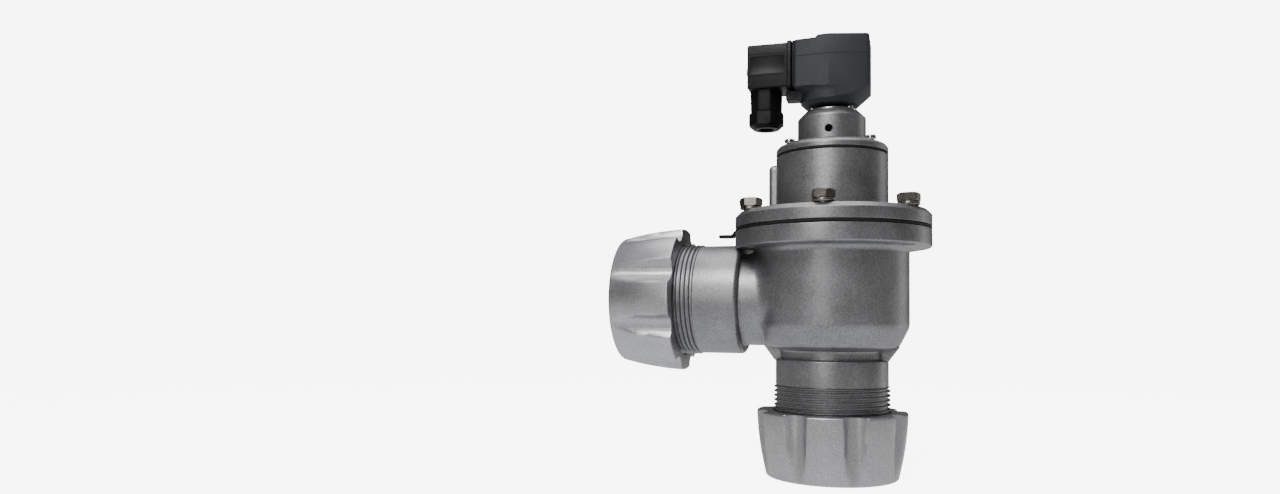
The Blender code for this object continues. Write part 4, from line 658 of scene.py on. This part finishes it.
# Cover: a second aluminium casting, bolted down on the main diaphragm. It holds the spring
# chamber, the exhaust chamber above its deck, and the rib with the supply channel.
cover_top = cover_high[2]
cover_flange_top = cover_seat + 0.0102
cover_radius = 0.03665
chamber_radius = 0.03215
deck_top = deck_bottom + 0.004
nozzle_bore = 0.0085
nozzle_radius = 0.0115
nozzle_top = cover_top - 0.0028
cover = to_object(turn(rounded([
    (chamber_radius, cover_top, 0.0003),
    (cover_radius, cover_top, 0.0004),
    (cover_radius, cover_flange_top, 0.0024),
    (flange_radius - 0.0030, cover_flange_top, 0.0010),
    (flange_radius, cover_flange_top - 0.0030, 0.0010),
    (flange_radius, cover_seat, 0.0004),
    (bowl_bore, cover_seat, 0.0004),
    (chamber_radius, cover_seat + 0.0071, 0.0010),
    (chamber_radius, deck_bottom, 0.0015),
    (nozzle_bore, deck_bottom),
    (nozzle_bore, nozzle_top),
    (nozzle_radius - 0.0012, nozzle_top),
    (nozzle_radius, nozzle_top - 0.0012),
    (nozzle_radius, deck_top, 0.0012),
    (chamber_radius, deck_top, 0.0012)])), "cover_casting")
rib_outer = cover_radius + 0.0049
rib_inner = cover_radius - 0.0022
rib_half_width = 0.0055
rib_outline = rounded([
    (-rib_inner, cover_flange_top - 0.002), (-rib_outer, cover_flange_top - 0.002),
    (-rib_outer, cover_top - 0.0040, 0.0036), (-rib_inner, cover_top - 0.0040)])
rib_shape = extruded([(x, -rib_half_width, z) for x, z in rib_outline], (0, 2 * rib_half_width, 0))
soften(rib_shape, [
    edge for edge in rib_shape.edges
    if abs(edge.verts[0].co.y - edge.verts[1].co.y) < 1e-6
    and all(vert.co.z > cover_flange_top - 0.001 or vert.co.x < -rib_inner - 0.001 for vert in edge.verts)
    and any(vert.co.x < -rib_inner - 0.001 for vert in edge.verts)
    and not all(vert.co.z < cover_flange_top for vert in edge.verts)], 0.0028, 6)
join(cover, rib_shape)
pilot_circle = 0.0300
pilot_hole_radius = 0.0023
join(cover, drills(0.0045, pilot_circle, 3, deck_top - 0.002, cover_top - 0.0002))
cut(cover, drills(bolt_hole_radius, bolt_circle_radius, 6, cover_seat - 0.001, cover_flange_top + 0.001))
cut(cover, drills(pilot_hole_radius, pilot_circle, 3, cover_top - 0.0083, cover_top + 0.002))
port_direction = Vector((-sin(radians(60)), cos(radians(60)), 0))
port_middle = port_direction * cover_radius + Vector((0, 0, (deck_top + cover_top) / 2))
port_turn = port_direction.to_track_quat('Z', 'Y').to_matrix().to_4x4()
cut(cover, rod(48, 0.0062, 0.0068, -0.006, 0.006), on_axis @ Matrix.Translation(port_middle) @ port_turn)
dress(cover, cast_metal, "cover_housing", "root")

# Flange bolts: six M8 hexagon screws in stainless steel, each with a split spring washer.
# They pass the cover and the diaphragm, and thread into the body's flange.
steel = mottled("steel", (0.20, 0.185, 0.155), (0.46, 0.43, 0.38), 1.0, 0.33, 1500, 260, 0.00003)
head_flats = 0.013
washer_bottom = cover_flange_top + 0.0003
washer_thickness = 0.002
head_bottom = washer_bottom + washer_thickness + 0.0003
head_top = head_bottom + 0.0053
shank_radius = 0.0040
shank_end = flange_underside + 0.0005
washer_top = washer_bottom + washer_thickness - 0.0002
washer_gap = radians(12)
washer_steps = 60
washer_rise = 0.0002
bolt_turns = (16, 44, 3, 27, 52, 35)
gap_angles = (70, 200, 310, 20, 130, 250)
for number, bolt_turn, gap_angle in zip(range(1, 7), bolt_turns, gap_angles):
    angle = -pi / 2 + (number - 1) * pi / 3
    place = on_axis @ Matrix.Translation((
        bolt_circle_radius * cos(angle), bolt_circle_radius * sin(angle), 0))
    bolt = to_object(
        rod(6, head_flats / sqrt(3), head_flats / sqrt(3), head_bottom, head_top),
        f"hexagon_bolt_{number}", place @ Matrix.Rotation(radians(bolt_turn), 4, 'Z'))
    barrel = turn([
        (0.0, head_top + 0.0001), (0.0059, head_top + 0.0001), (0.0077, head_top - 0.0011),
        (0.0077, head_bottom + 0.0006), (0.0067, head_bottom - 0.0001), (0.0, head_bottom - 0.0001)], 48)
    combine(bolt, barrel, 'INTERSECT', place)
    join(bolt, turn(rounded([
        (0.0, head_top - 0.0008), (shank_radius, head_top - 0.0008), (shank_radius, shank_end, 0.0008),
        (0.0, shank_end)]), 32), place)
    dress(bolt, steel, f"flange_bolt_{number}", "root", sharp_degrees=25)
    washer_section = rounded([
        (0.0042, washer_bottom, 0.0002), (0.0070, washer_bottom, 0.0003), (0.0070, washer_top, 0.0003),
        (0.0042, washer_top, 0.0002)], 30)
    washer = to_object(
        swept(washer_section, 2 * pi - washer_gap, washer_steps, washer_rise / washer_steps),
        f"split_washer_{number}", place @ Matrix.Rotation(radians(gap_angle), 4, 'Z'))
    dress(washer, steel, f"spring_washer_{number}", "root")

# Pilot diaphragm: a small flat sheet with its own riveted disc, which opens the nozzle
# in the cover when the solenoid vents the chamber above it.
pilot_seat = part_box("pilot_cover")[0][2]
sheet_bottom = pilot_seat - 0.0015
flexing_sheet(
    "pilot_diaphragm", "pilot_disc", sheet_bottom, 0.0012, (0.0019, 0.0160, 0.0245, cover_radius), 0.0,
    drills(pilot_hole_radius, pilot_circle, 3, sheet_bottom - 0.002, sheet_bottom + 0.003))
pilot_disc_top = sheet_bottom - 0.0003
pilot_disc_bottom = pilot_disc_top - 0.0025
turned_piece("pilot_seat_disc", [
    (0.0019, pilot_disc_top), (0.0130, pilot_disc_top, 0.0004),
    (0.0130, pilot_disc_bottom + 0.0003, 0.0004), (0.0019, pilot_disc_bottom + 0.0003)],
    seal_plastic, "pilot_disc")
pilot_retainer_top = pilot_seat + 0.002
turned_piece("pilot_retainer", [
    (0.0019, pilot_retainer_top), (0.0140, pilot_retainer_top, 0.0006), (0.0140, pilot_seat, 0.0003),
    (0.0019, pilot_seat)], bright_steel, "pilot_disc")
pilot_rivet_top = pilot_retainer_top + 0.0016
turned_piece("pilot_rivet", [
    (0.0, pilot_rivet_top), (0.0038, pilot_rivet_top, 0.0009), (0.0038, pilot_retainer_top + 0.0003),
    (0.0016, pilot_retainer_top + 0.0003), (0.0016, pilot_disc_bottom), (0.0038, pilot_disc_bottom),
    (0.0038, pilot_disc_bottom - 0.0013, 0.0009), (0.0, pilot_disc_bottom - 0.0013)],
    bright_steel, "pilot_disc")
pilot_ceiling = pilot_rivet_top + 0.0051
spring(
    "pilot_spring", 0.0009, 3.4, pilot_retainer_top + 0.0003, pilot_ceiling - 0.0003,
    (0.0122, 0.0065))

# Pilot cover: the third casting, held by three pan-head screws. Its round block carries the
# solenoid's stem on top and the vent hole in front.
pilot_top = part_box("pilot_cover")[1][2]
pilot_flange_top = pilot_seat + 0.0066
block_radius = 0.0224
cavity_radius = 0.0095
cavity_floor = pilot_top - 0.0070
orifice_radius = 0.0015
orifice_top = cavity_floor + 0.0022
pilot_cover = to_object(turn(rounded([
    (cavity_radius, pilot_top, 0.0004),
    (block_radius - 0.0040, pilot_top, 0.0010),
    (block_radius, pilot_top - 0.0040, 0.0014),
    (block_radius, pilot_flange_top, 0.0014),
    (cover_radius - 0.0055, pilot_flange_top, 0.0020),
    (cover_radius - 0.0014, pilot_seat + 0.0048, 0.0016),
    (cover_radius, pilot_seat + 0.0030, 0.0010),
    (cover_radius, pilot_seat, 0.0003),
    (0.0250, pilot_seat),
    (0.0185, pilot_seat + 0.0030),
    (0.0185, pilot_ceiling, 0.0010),
    (orifice_radius, pilot_ceiling),
    (orifice_radius, orifice_top),
    (0.0021, orifice_top),
    (0.0035, cavity_floor),
    (cavity_radius, cavity_floor, 0.0006)])), "pilot_casting")
cut(pilot_cover, drills(pilot_hole_radius, pilot_circle, 3, pilot_seat - 0.002, pilot_top))
stem_screw_circle = 0.0139
stem_hole_radius = 0.0018
cut(pilot_cover, drills(stem_hole_radius, stem_screw_circle, 3, pilot_top - 0.0045, pilot_top + 0.002))
vent_height = pilot_top - 0.0138
vent_inner = 0.0050
vent_half = (block_radius - vent_inner + 0.002) / 2
for radii, half, distance in (
        ((0.0024, 0.0024), vent_half, (block_radius + vent_inner) / 2),
        ((0.0022, 0.0034), 0.0006, block_radius)):
    place = on_axis @ Matrix.Translation((0, -distance, vent_height)) @ Matrix.Rotation(pi / 2, 4, 'X')
    cut(pilot_cover, rod(32, *radii, -half, half), place)
cut(pilot_cover, rod(16, 0.0015, 0.0015, vent_height, cavity_floor + 0.002, (0, -0.0065)))
dress(pilot_cover, cast_metal, "pilot_cover", "root")


def pan_screws(node, circle, head_radius, head_height, seat, shank, end):
    """Three pan-head screws with a cross recess, on a circle with one of them at the back."""
    crown = seat + head_height
    corner = Vector((head_radius * 0.625, head_radius * 0.12, head_height * 0.45))
    for index, (angle, (x, y)) in enumerate(spots(circle, 3)):
        place = on_axis @ Matrix.Translation((x, y, 0))
        screw = to_object(turn(rounded([
            (0.0, crown), (head_radius, crown, head_height * 0.75),
            (head_radius, seat, head_height * 0.12), (shank, seat), (shank, end), (0.0, end)]), 40),
            f"{node}_panhead_{index + 1}", place)
        for slot_angle in (angle + 0.4, angle + 0.4 + pi / 2):
            middle = Matrix.Translation((0, 0, crown)) @ Matrix.Rotation(slot_angle, 4, 'Z')
            cut(screw, block(-corner, corner), place @ middle)
        dress(screw, polished, f"{node}_{index + 1}", "root")


polished = mottled("polished_steel", (0.52, 0.51, 0.48), (0.72, 0.71, 0.68), 1.0, 0.22, 1500, 200, 0.00002)
pan_screws(
    "pilot_screw", pilot_circle, 0.0035, 0.0024, pilot_flange_top + 0.0003, 0.0020, cover_top - 0.0080)

# Solenoid stem: a stainless guide tube with a flange, closed by its fixed core. The plunger
# with its rubber seal slides in it and a small spring holds it down on the pilot orifice.
stem_seat = pilot_top + 0.0003
stem_flange_top = stem_seat + 0.0012
stem_flange_radius = 0.0172
stem_tube_top = stem_flange_top + 0.0388
stem_radius = 0.0065
stem_bore = 0.0052
clip_bottom = stem_tube_top - 0.0040
clip_top = clip_bottom + 0.0012
groove_top = clip_top + 0.0003
stem = turned_piece("stem_tube", [
    (stem_bore, stem_tube_top), (stem_radius, stem_tube_top, 0.0003), (stem_radius, groove_top),
    (stem_radius - 0.0006, groove_top), (stem_radius - 0.0006, clip_bottom - 0.0003),
    (stem_radius, clip_bottom - 0.0003), (stem_radius, stem_flange_top, 0.0012),
    (stem_flange_radius, stem_flange_top, 0.0004), (stem_flange_radius, stem_seat, 0.0002),
    (stem_bore, stem_seat)], bright_steel, "root")
cut(stem, drills(stem_hole_radius, stem_screw_circle, 3, stem_seat - 0.001, stem_flange_top + 0.001))
shade(stem)
core_bottom = stem_tube_top - 0.0160
slide_radius = stem_bore - 0.0002
turned_piece("fixed_core", [
    (0.0, stem_tube_top + 0.0018), (stem_radius, stem_tube_top + 0.0018, 0.0006),
    (stem_radius, stem_tube_top + 0.0003), (slide_radius, stem_tube_top + 0.0003),
    (slide_radius, core_bottom), (0.0, core_bottom)], bright_steel, "root")
plunger_top = core_bottom - 0.0025
seal_bottom = orifice_top + 0.0003
seal_top = seal_bottom + 0.0020
seal_pocket_top = seal_top + 0.0003
plunger_bottom = seal_pocket_top - 0.0015
spring_seat = plunger_top - 0.0110
turned_piece("plunger", [
    (0.0, spring_seat), (0.0026, spring_seat), (0.0026, plunger_top, 0.0002),
    (slide_radius, plunger_top, 0.0004), (slide_radius, plunger_bottom, 0.0004),
    (0.0033, plunger_bottom), (0.0033, seal_pocket_top), (0.0, seal_pocket_top)],
    bright_steel, "plunger")
turned_piece("plunger_seal", [
    (0.0, seal_top), (0.0030, seal_top, 0.0002), (0.0030, seal_bottom, 0.0003),
    (0.0, seal_bottom)], rubber, "plunger")
spring(
    "plunger_spring", 0.0005, 7.0, spring_seat + 0.0003, core_bottom - 0.0003, (0.0019, 0.0019))
pan_screws(
    "stem_screw", stem_screw_circle, 0.0025, 0.0020, stem_flange_top + 0.0003, 0.0015, stem_seat - 0.0045)
turned_piece("stem_seal", [
    (0.0068, stem_flange_top + 0.0027, 0.0006), (0.0102, stem_flange_top + 0.0027, 0.0009),
    (0.0102, stem_flange_top + 0.0003, 0.0009), (0.0068, stem_flange_top + 0.0003, 0.0006)],
    rubber, "root")

# Coil: winding and frame potted in slate-grey resin, one moulding with a fine parting line.
# It slips over the stem on a round skirt, and a snap ring holds it there.
coil_plastic = mottled(
    "coil_plastic", (0.017, 0.0183, 0.0210), (0.026, 0.0280, 0.0325), 0.0, 0.56, 1300, 45, 0.00005, 0.33)
coil_bottom, coil_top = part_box("coil_housing")[0][2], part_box("coil_housing")[1][2]
coil_left = 0.0229
coil_right = 0.0252
left_half = 0.0195
middle_half = 0.0220
right_half = 0.0155
skirt_radius = 0.0205
skirt_top = coil_bottom + 0.0111
parting_height = coil_bottom + 0.0311
plan = [
    (-coil_left, -left_half), (0, -middle_half), (coil_right, -right_half),
    (coil_right, right_half), (0, middle_half), (-coil_left, left_half)]
coil_shape = extruded([(x, y, coil_bottom) for x, y in plan], (0, 0, coil_top - coil_bottom))
soften(coil_shape, [
    edge for edge in coil_shape.edges
    if abs(edge.verts[0].co.z - edge.verts[1].co.z) > 0.01 and abs(edge.verts[0].co.x) > 0.01], 0.0018, 6)
soften(coil_shape, [
    edge for edge in coil_shape.edges if all(vert.co.z > coil_top - 1e-6 for vert in edge.verts)],
    0.0012, 5)
groove_half = 0.00018
groove_depth = 0.00025
for offset in (-groove_half, 0, groove_half):
    slice_at(coil_shape, (0, 0, parting_height + offset), (0, 0, 1))
for vert in coil_shape.verts:
    if abs(vert.co.z - parting_height) < 1e-6:
        vert.co.xy -= vert.co.xy.normalized() * groove_depth
coil = to_object(tidy(coil_shape), "coil_moulding")
clear_radius = 0.050
below = coil_bottom - 0.002
cove_radius = 0.0040
cove = turn([
    (skirt_radius, below), (skirt_radius, skirt_top - cove_radius),
    *[(skirt_radius + cove_radius * (1 - cos(radians(angle))),
       skirt_top - cove_radius + cove_radius * sin(radians(angle))) for angle in range(10, 100, 10)],
    (clear_radius, skirt_top), (clear_radius, below)])
cheek_start = 0.004
slice_at(cove, (cheek_start, 0, 0), (1, 0, 0), clear=True)
bmesh.ops.holes_fill(cove, edges=[edge for edge in cove.edges if edge.is_boundary], sides=0)
cut(coil, cove)
step_floor = coil_top - 0.0020
step_profile = [
    (-0.040, step_floor), (-0.0090, step_floor), (-0.0066, coil_top + 0.0004),
    (-0.0066, coil_top + 0.004), (-0.040, coil_top + 0.004)]
cut(coil, extruded([(x, -0.03, z) for x, z in step_profile], (0, 0.06, 0)))
cut(coil, turn([
    (skirt_radius - 0.0030, coil_bottom - 0.0001), (skirt_radius - 0.0030, below),
    (clear_radius, below), (clear_radius, coil_bottom + 0.0295 - 0.0001)]))
join(coil, block(
    (-coil_left + 0.0003, -0.009, coil_bottom + 0.0062), (-skirt_radius / 2, 0.009, skirt_top + 0.003),
    0.0009))
join(coil, block(
    (-coil_left - 0.0072, -0.006, coil_bottom + 0.0057), (-coil_left + 0.002, 0.006, coil_top - 0.0321),
    0.0009))
coil_bore_radius = stem_radius + 0.0003
clip_room_radius = stem_radius + 0.0021
cut(coil, turn([
    (0.0, stem_tube_top + 0.0021), (coil_bore_radius, stem_tube_top + 0.0021),
    (coil_bore_radius, groove_top), (clip_room_radius, groove_top),
    (clip_room_radius, clip_bottom - 0.0003), (coil_bore_radius, clip_bottom - 0.0003),
    (coil_bore_radius, below), (0.0, below)], 48))
dress(coil, coil_plastic, "coil_housing", "coil", sharp_degrees=28)
turned_piece("coil_clip", [
    (stem_radius - 0.0003, clip_top, 0.0002), (stem_radius + 0.0018, clip_top, 0.0003),
    (stem_radius + 0.0018, clip_bottom, 0.0003), (stem_radius - 0.0003, clip_bottom, 0.0002)],
    bright_steel, "coil")

# Plug connector: a black moulded shell over a terminal insert with three blades, sealed by a
# flat gasket and held by one long screw. The maker's place on its faces is left plain.
plug_plastic = mottled(
    "plug_plastic", (0.0018, 0.0018, 0.0020), (0.0038, 0.0038, 0.0042), 0.0, 0.42, 1500, 70, 0.00005, 0.22)
plug_height = coil_top - 0.0162
plug_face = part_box("plug_housing")[1][0] - valve_axis.x
flange_start = plug_face - 0.0032
plug_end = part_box("plug_housing")[0][0] - valve_axis.x
plug_side = 0.01355
plug_half = 0.0149
wall = 0.0022


def plug_block(start, end, side, half, rounding=0.0, segments=4):
    """A block along the plug's own level axis."""
    return block(
        (start, -side, plug_height - half), (end, side, plug_height + half), rounding, segments)


plug = to_object(
    tidy(plug_block(plug_end, flange_start + 0.002, plug_side, plug_half, 0.0010)), "plug_shell")
join(plug, plug_block(flange_start, plug_face, 0.0156, 0.0156, 0.0008))
gland_place = on_axis @ Matrix.Translation((flange_start - 0.0158, 0, 0))
eighth = Matrix.Rotation(radians(22.5), 4, 'Z')
neck_end = plug_height - plug_half - 0.01455
spigot_end = neck_end - 0.0075
neck = rod(8, 0.0110, 0.0114, neck_end, neck_end + 0.0164)
soften(neck, neck.edges[:], 0.0009)
join(plug, neck, gland_place @ eighth)
join(plug, turn(rounded([
    (0.0, neck_end + 0.002), (0.0090, neck_end + 0.002), (0.0090, spigot_end, 0.0005),
    (0.0, spigot_end)]), 48), gland_place)
cut(plug, plug_block(plug_end + wall, plug_face + 0.002, plug_side - wall, plug_half - wall))
gland_bore_top = plug_height - plug_half + wall + 0.001
cut(plug, turn([
    (0.0, gland_bore_top), (0.0074, gland_bore_top), (0.0074, spigot_end - 0.002),
    (0.0, spigot_end - 0.002)], 48), gland_place)
panel_top = plug_height + 0.0068
panel_bottom = plug_height - 0.0051
panel_depth = 0.0004
groove_side = plug_side - 0.0003
for sign in (-1, 1):
    inner, outer = sorted((sign * (plug_side - panel_depth), sign * (plug_side + 0.003)))
    cut(plug, block(
        (plug_end + 0.0020, inner, panel_bottom), (flange_start - 0.0016, outer, panel_top), 0.0003, 2))
    inner, outer = sorted((sign * groove_side, sign * (plug_side + 0.003)))
    for height in (panel_top + 0.0013, panel_bottom - 0.0013):
        cut(plug, block(
            (plug_end - 0.002, inner, height - 0.00022), (flange_start - 0.0006, outer, height + 0.00022)))
screw_place = on_axis @ Matrix.Translation((0, 0, plug_height)) @ Matrix.Rotation(pi / 2, 4, 'Y')
cut(plug, rod(32, 0.0018, 0.0018, plug_end - 0.003, plug_end + 0.003), screw_place)
dress(plug, plug_plastic, "plug_housing", "coil", sharp_degrees=28)
plug_gasket = to_object(
    tidy(plug_block(plug_face + 0.0003, plug_face + 0.0018, 0.0152, 0.0152, 0.0004, 2)), "flat_gasket")
cut(plug_gasket, plug_block(plug_face - 0.001, plug_face + 0.003, 0.0112, 0.0112))
dress(plug_gasket, rubber, "plug_gasket", "coil")
plug_screw = turned_piece("plug_screw", [
    (0.0, -coil_left + 0.0040), (0.0015, -coil_left + 0.0040), (0.0015, plug_end - 0.0003),
    (0.0030, plug_end - 0.0003, 0.0002), (0.0030, plug_end - 0.0025, 0.0007),
    (0.0, plug_end - 0.0025)], polished, "coil", screw_place, 40)
cut(plug_screw, plug_block(plug_end - 0.004, plug_end - 0.0016, 0.004, 0.0004))
shade(plug_screw)
brass = mottled("brass", (0.50, 0.36, 0.15), (0.64, 0.48, 0.22), 1.0, 0.28, 1500, 150, 0.00002)
insert_grey = mottled(
    "insert_plastic", (0.045, 0.047, 0.050), (0.065, 0.067, 0.072), 0.0, 0.5, 1200, 90, 0.00003)
for node, finish_of_node in (
        ("terminal_insert", insert_grey), ("terminal_front", brass), ("terminal_back", brass),
        ("terminal_earth", brass)):
    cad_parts[node].material_slots[0].material = finish_of_node

# Cable gland: a rubber sleeve and a thrust washer in the plug's neck, closed by a faceted
# cap nut. No cable is fitted, as in the photograph.
thrust_top = spigot_end - 0.0003
thrust_bottom = thrust_top - 0.0010
cable_hole = 0.0052
turned_piece("gland_washer", [
    (cable_hole, thrust_top), (0.0087, thrust_top, 0.0002), (0.0087, thrust_bottom, 0.0002),
    (cable_hole, thrust_bottom)], seal_plastic, "gland_washer", gland_place, 48)
sleeve_bottom = thrust_top + 0.0003
turned_piece("gland_seal", [
    (cable_hole, sleeve_bottom + 0.0085, 0.0003), (0.0071, sleeve_bottom + 0.0085, 0.0003),
    (0.0071, sleeve_bottom, 0.0003), (cable_hole, sleeve_bottom, 0.0003)],
    rubber, "coil", gland_place, 48)
nut_top = neck_end - 0.0003
nut_seat = thrust_bottom - 0.0003
nut_bottom = nut_seat - 0.0022
gland_nut = to_object(
    rod(8, 0.0122, 0.0122, nut_bottom, nut_top), "faceted_cap_nut", gland_place @ eighth)
cap_barrel = turn([
    (0.0, nut_top + 0.001), (0.0112, nut_top + 0.001), (0.0121, nut_top - 0.0012),
    (0.0121, nut_bottom + 0.0030), (0.0086, nut_bottom - 0.0001), (0.0, nut_bottom - 0.0001)], 64)
combine(gland_nut, cap_barrel, 'INTERSECT', gland_place)
cut(gland_nut, turn([
    (0.0, nut_top + 0.001), (0.0094, nut_top + 0.001), (0.0094, nut_seat), (cable_hole, nut_seat),
    (cable_hole, nut_bottom + 0.0006), (0.0060, nut_bottom - 0.0002), (0.0, nut_bottom - 0.0002)], 48),
    gland_place)
dress(gland_nut, plug_plastic, "gland_nut", "gland_nut", sharp_degrees=25)


# Pipe nuts: cast caps with eight flutes for a strap wrench, lighter silver than the body.
# Each screws onto a tube and, through a steel ring, presses a rubber gasket on the pipe.
def fluted(radius, angle, count=8, circle=0.0510, flute=0.0080, softness=0.0010):
    """Radius of a nut's surface where flutes of a round section are sunk into it."""
    step = 2 * pi / count
    offset = (angle / step) % 1.0 - 0.5
    sideways = circle * sin(offset * step)
    if abs(sideways) >= flute:
        return radius
    floor_of_flute = circle * cos(offset * step) - sqrt(flute ** 2 - sideways ** 2)
    gap = radius - floor_of_flute
    if gap <= -softness:
        return radius
    if gap >= softness:
        return floor_of_flute
    return radius - (gap + softness) ** 2 / (4 * softness)


def pipe_nut(node, place):
    length = 0.0430
    mouth = 0.0490
    end = 0.0430
    bore = thread_crest + 0.0004
    hole = 0.0254
    corners = [(bore, length, 0.0005), (mouth, length, 0.0013)]
    rows_down = 22
    for row in range(1, rows_down):
        share = row / rows_down
        bulge = 0.0048 * share * (1 - share)
        corners.append((mouth + (end - mouth) * share + bulge, length * (1 - share) + 0.0008 * share))
    corners += [
        (end, 0.0, 0.0028), (hole, 0.0, 0.0006), (hole, 0.006, 0.0004), (bore, 0.006)]
    shape = turn(rounded(corners), steps=256)
    for vert in shape.verts:
        radius = vert.co.xy.length
        if radius > bore + 0.0002 and vert.co.z > 0.0003:
            angle = vert.co.xy.angle_signed(Vector((1, 0)))
            vert.co.xy *= fluted(radius, angle) / radius
    nut = to_object(tidy(shape), node.replace("_", "_fluted_"), place)
    dress(nut, nut_metal, node, node, sharp_degrees=40)


nut_metal = mottled(
    "nut_metal", (0.37, 0.37, 0.38), (0.53, 0.53, 0.545), 0.9, 0.35, 1000, 55, 0.00022)
ring_start = 0.0063
ring_end = ring_start + 0.003
ring_outer = thread_crest - 0.0014
gasket_start = ring_end + 0.0003
cone_start = tube_end + 0.00488
gasket_outer = recess_radius - 0.0003
gasket_inner = socket_radius - 0.0003
for side, place in (("outlet", on_axis), ("inlet", inlet_place)):
    pipe_nut(f"{side}_nut", place)
    turned_piece(f"{side}_ring", [
        (socket_radius, ring_end, 0.0004), (ring_outer, ring_end, 0.0004),
        (ring_outer, ring_start, 0.0004), (socket_radius, ring_start, 0.0004)],
        bright_steel, f"{side}_ring", place, 128)
    turned_piece(f"{side}_gasket", [
        (gasket_inner, cone_start + gasket_outer - gasket_inner, 0.0004), (gasket_outer, cone_start, 0.0004),
        (gasket_outer, gasket_start, 0.0004), (gasket_inner, gasket_start, 0.0008)],
        rubber, "root", place, 128)
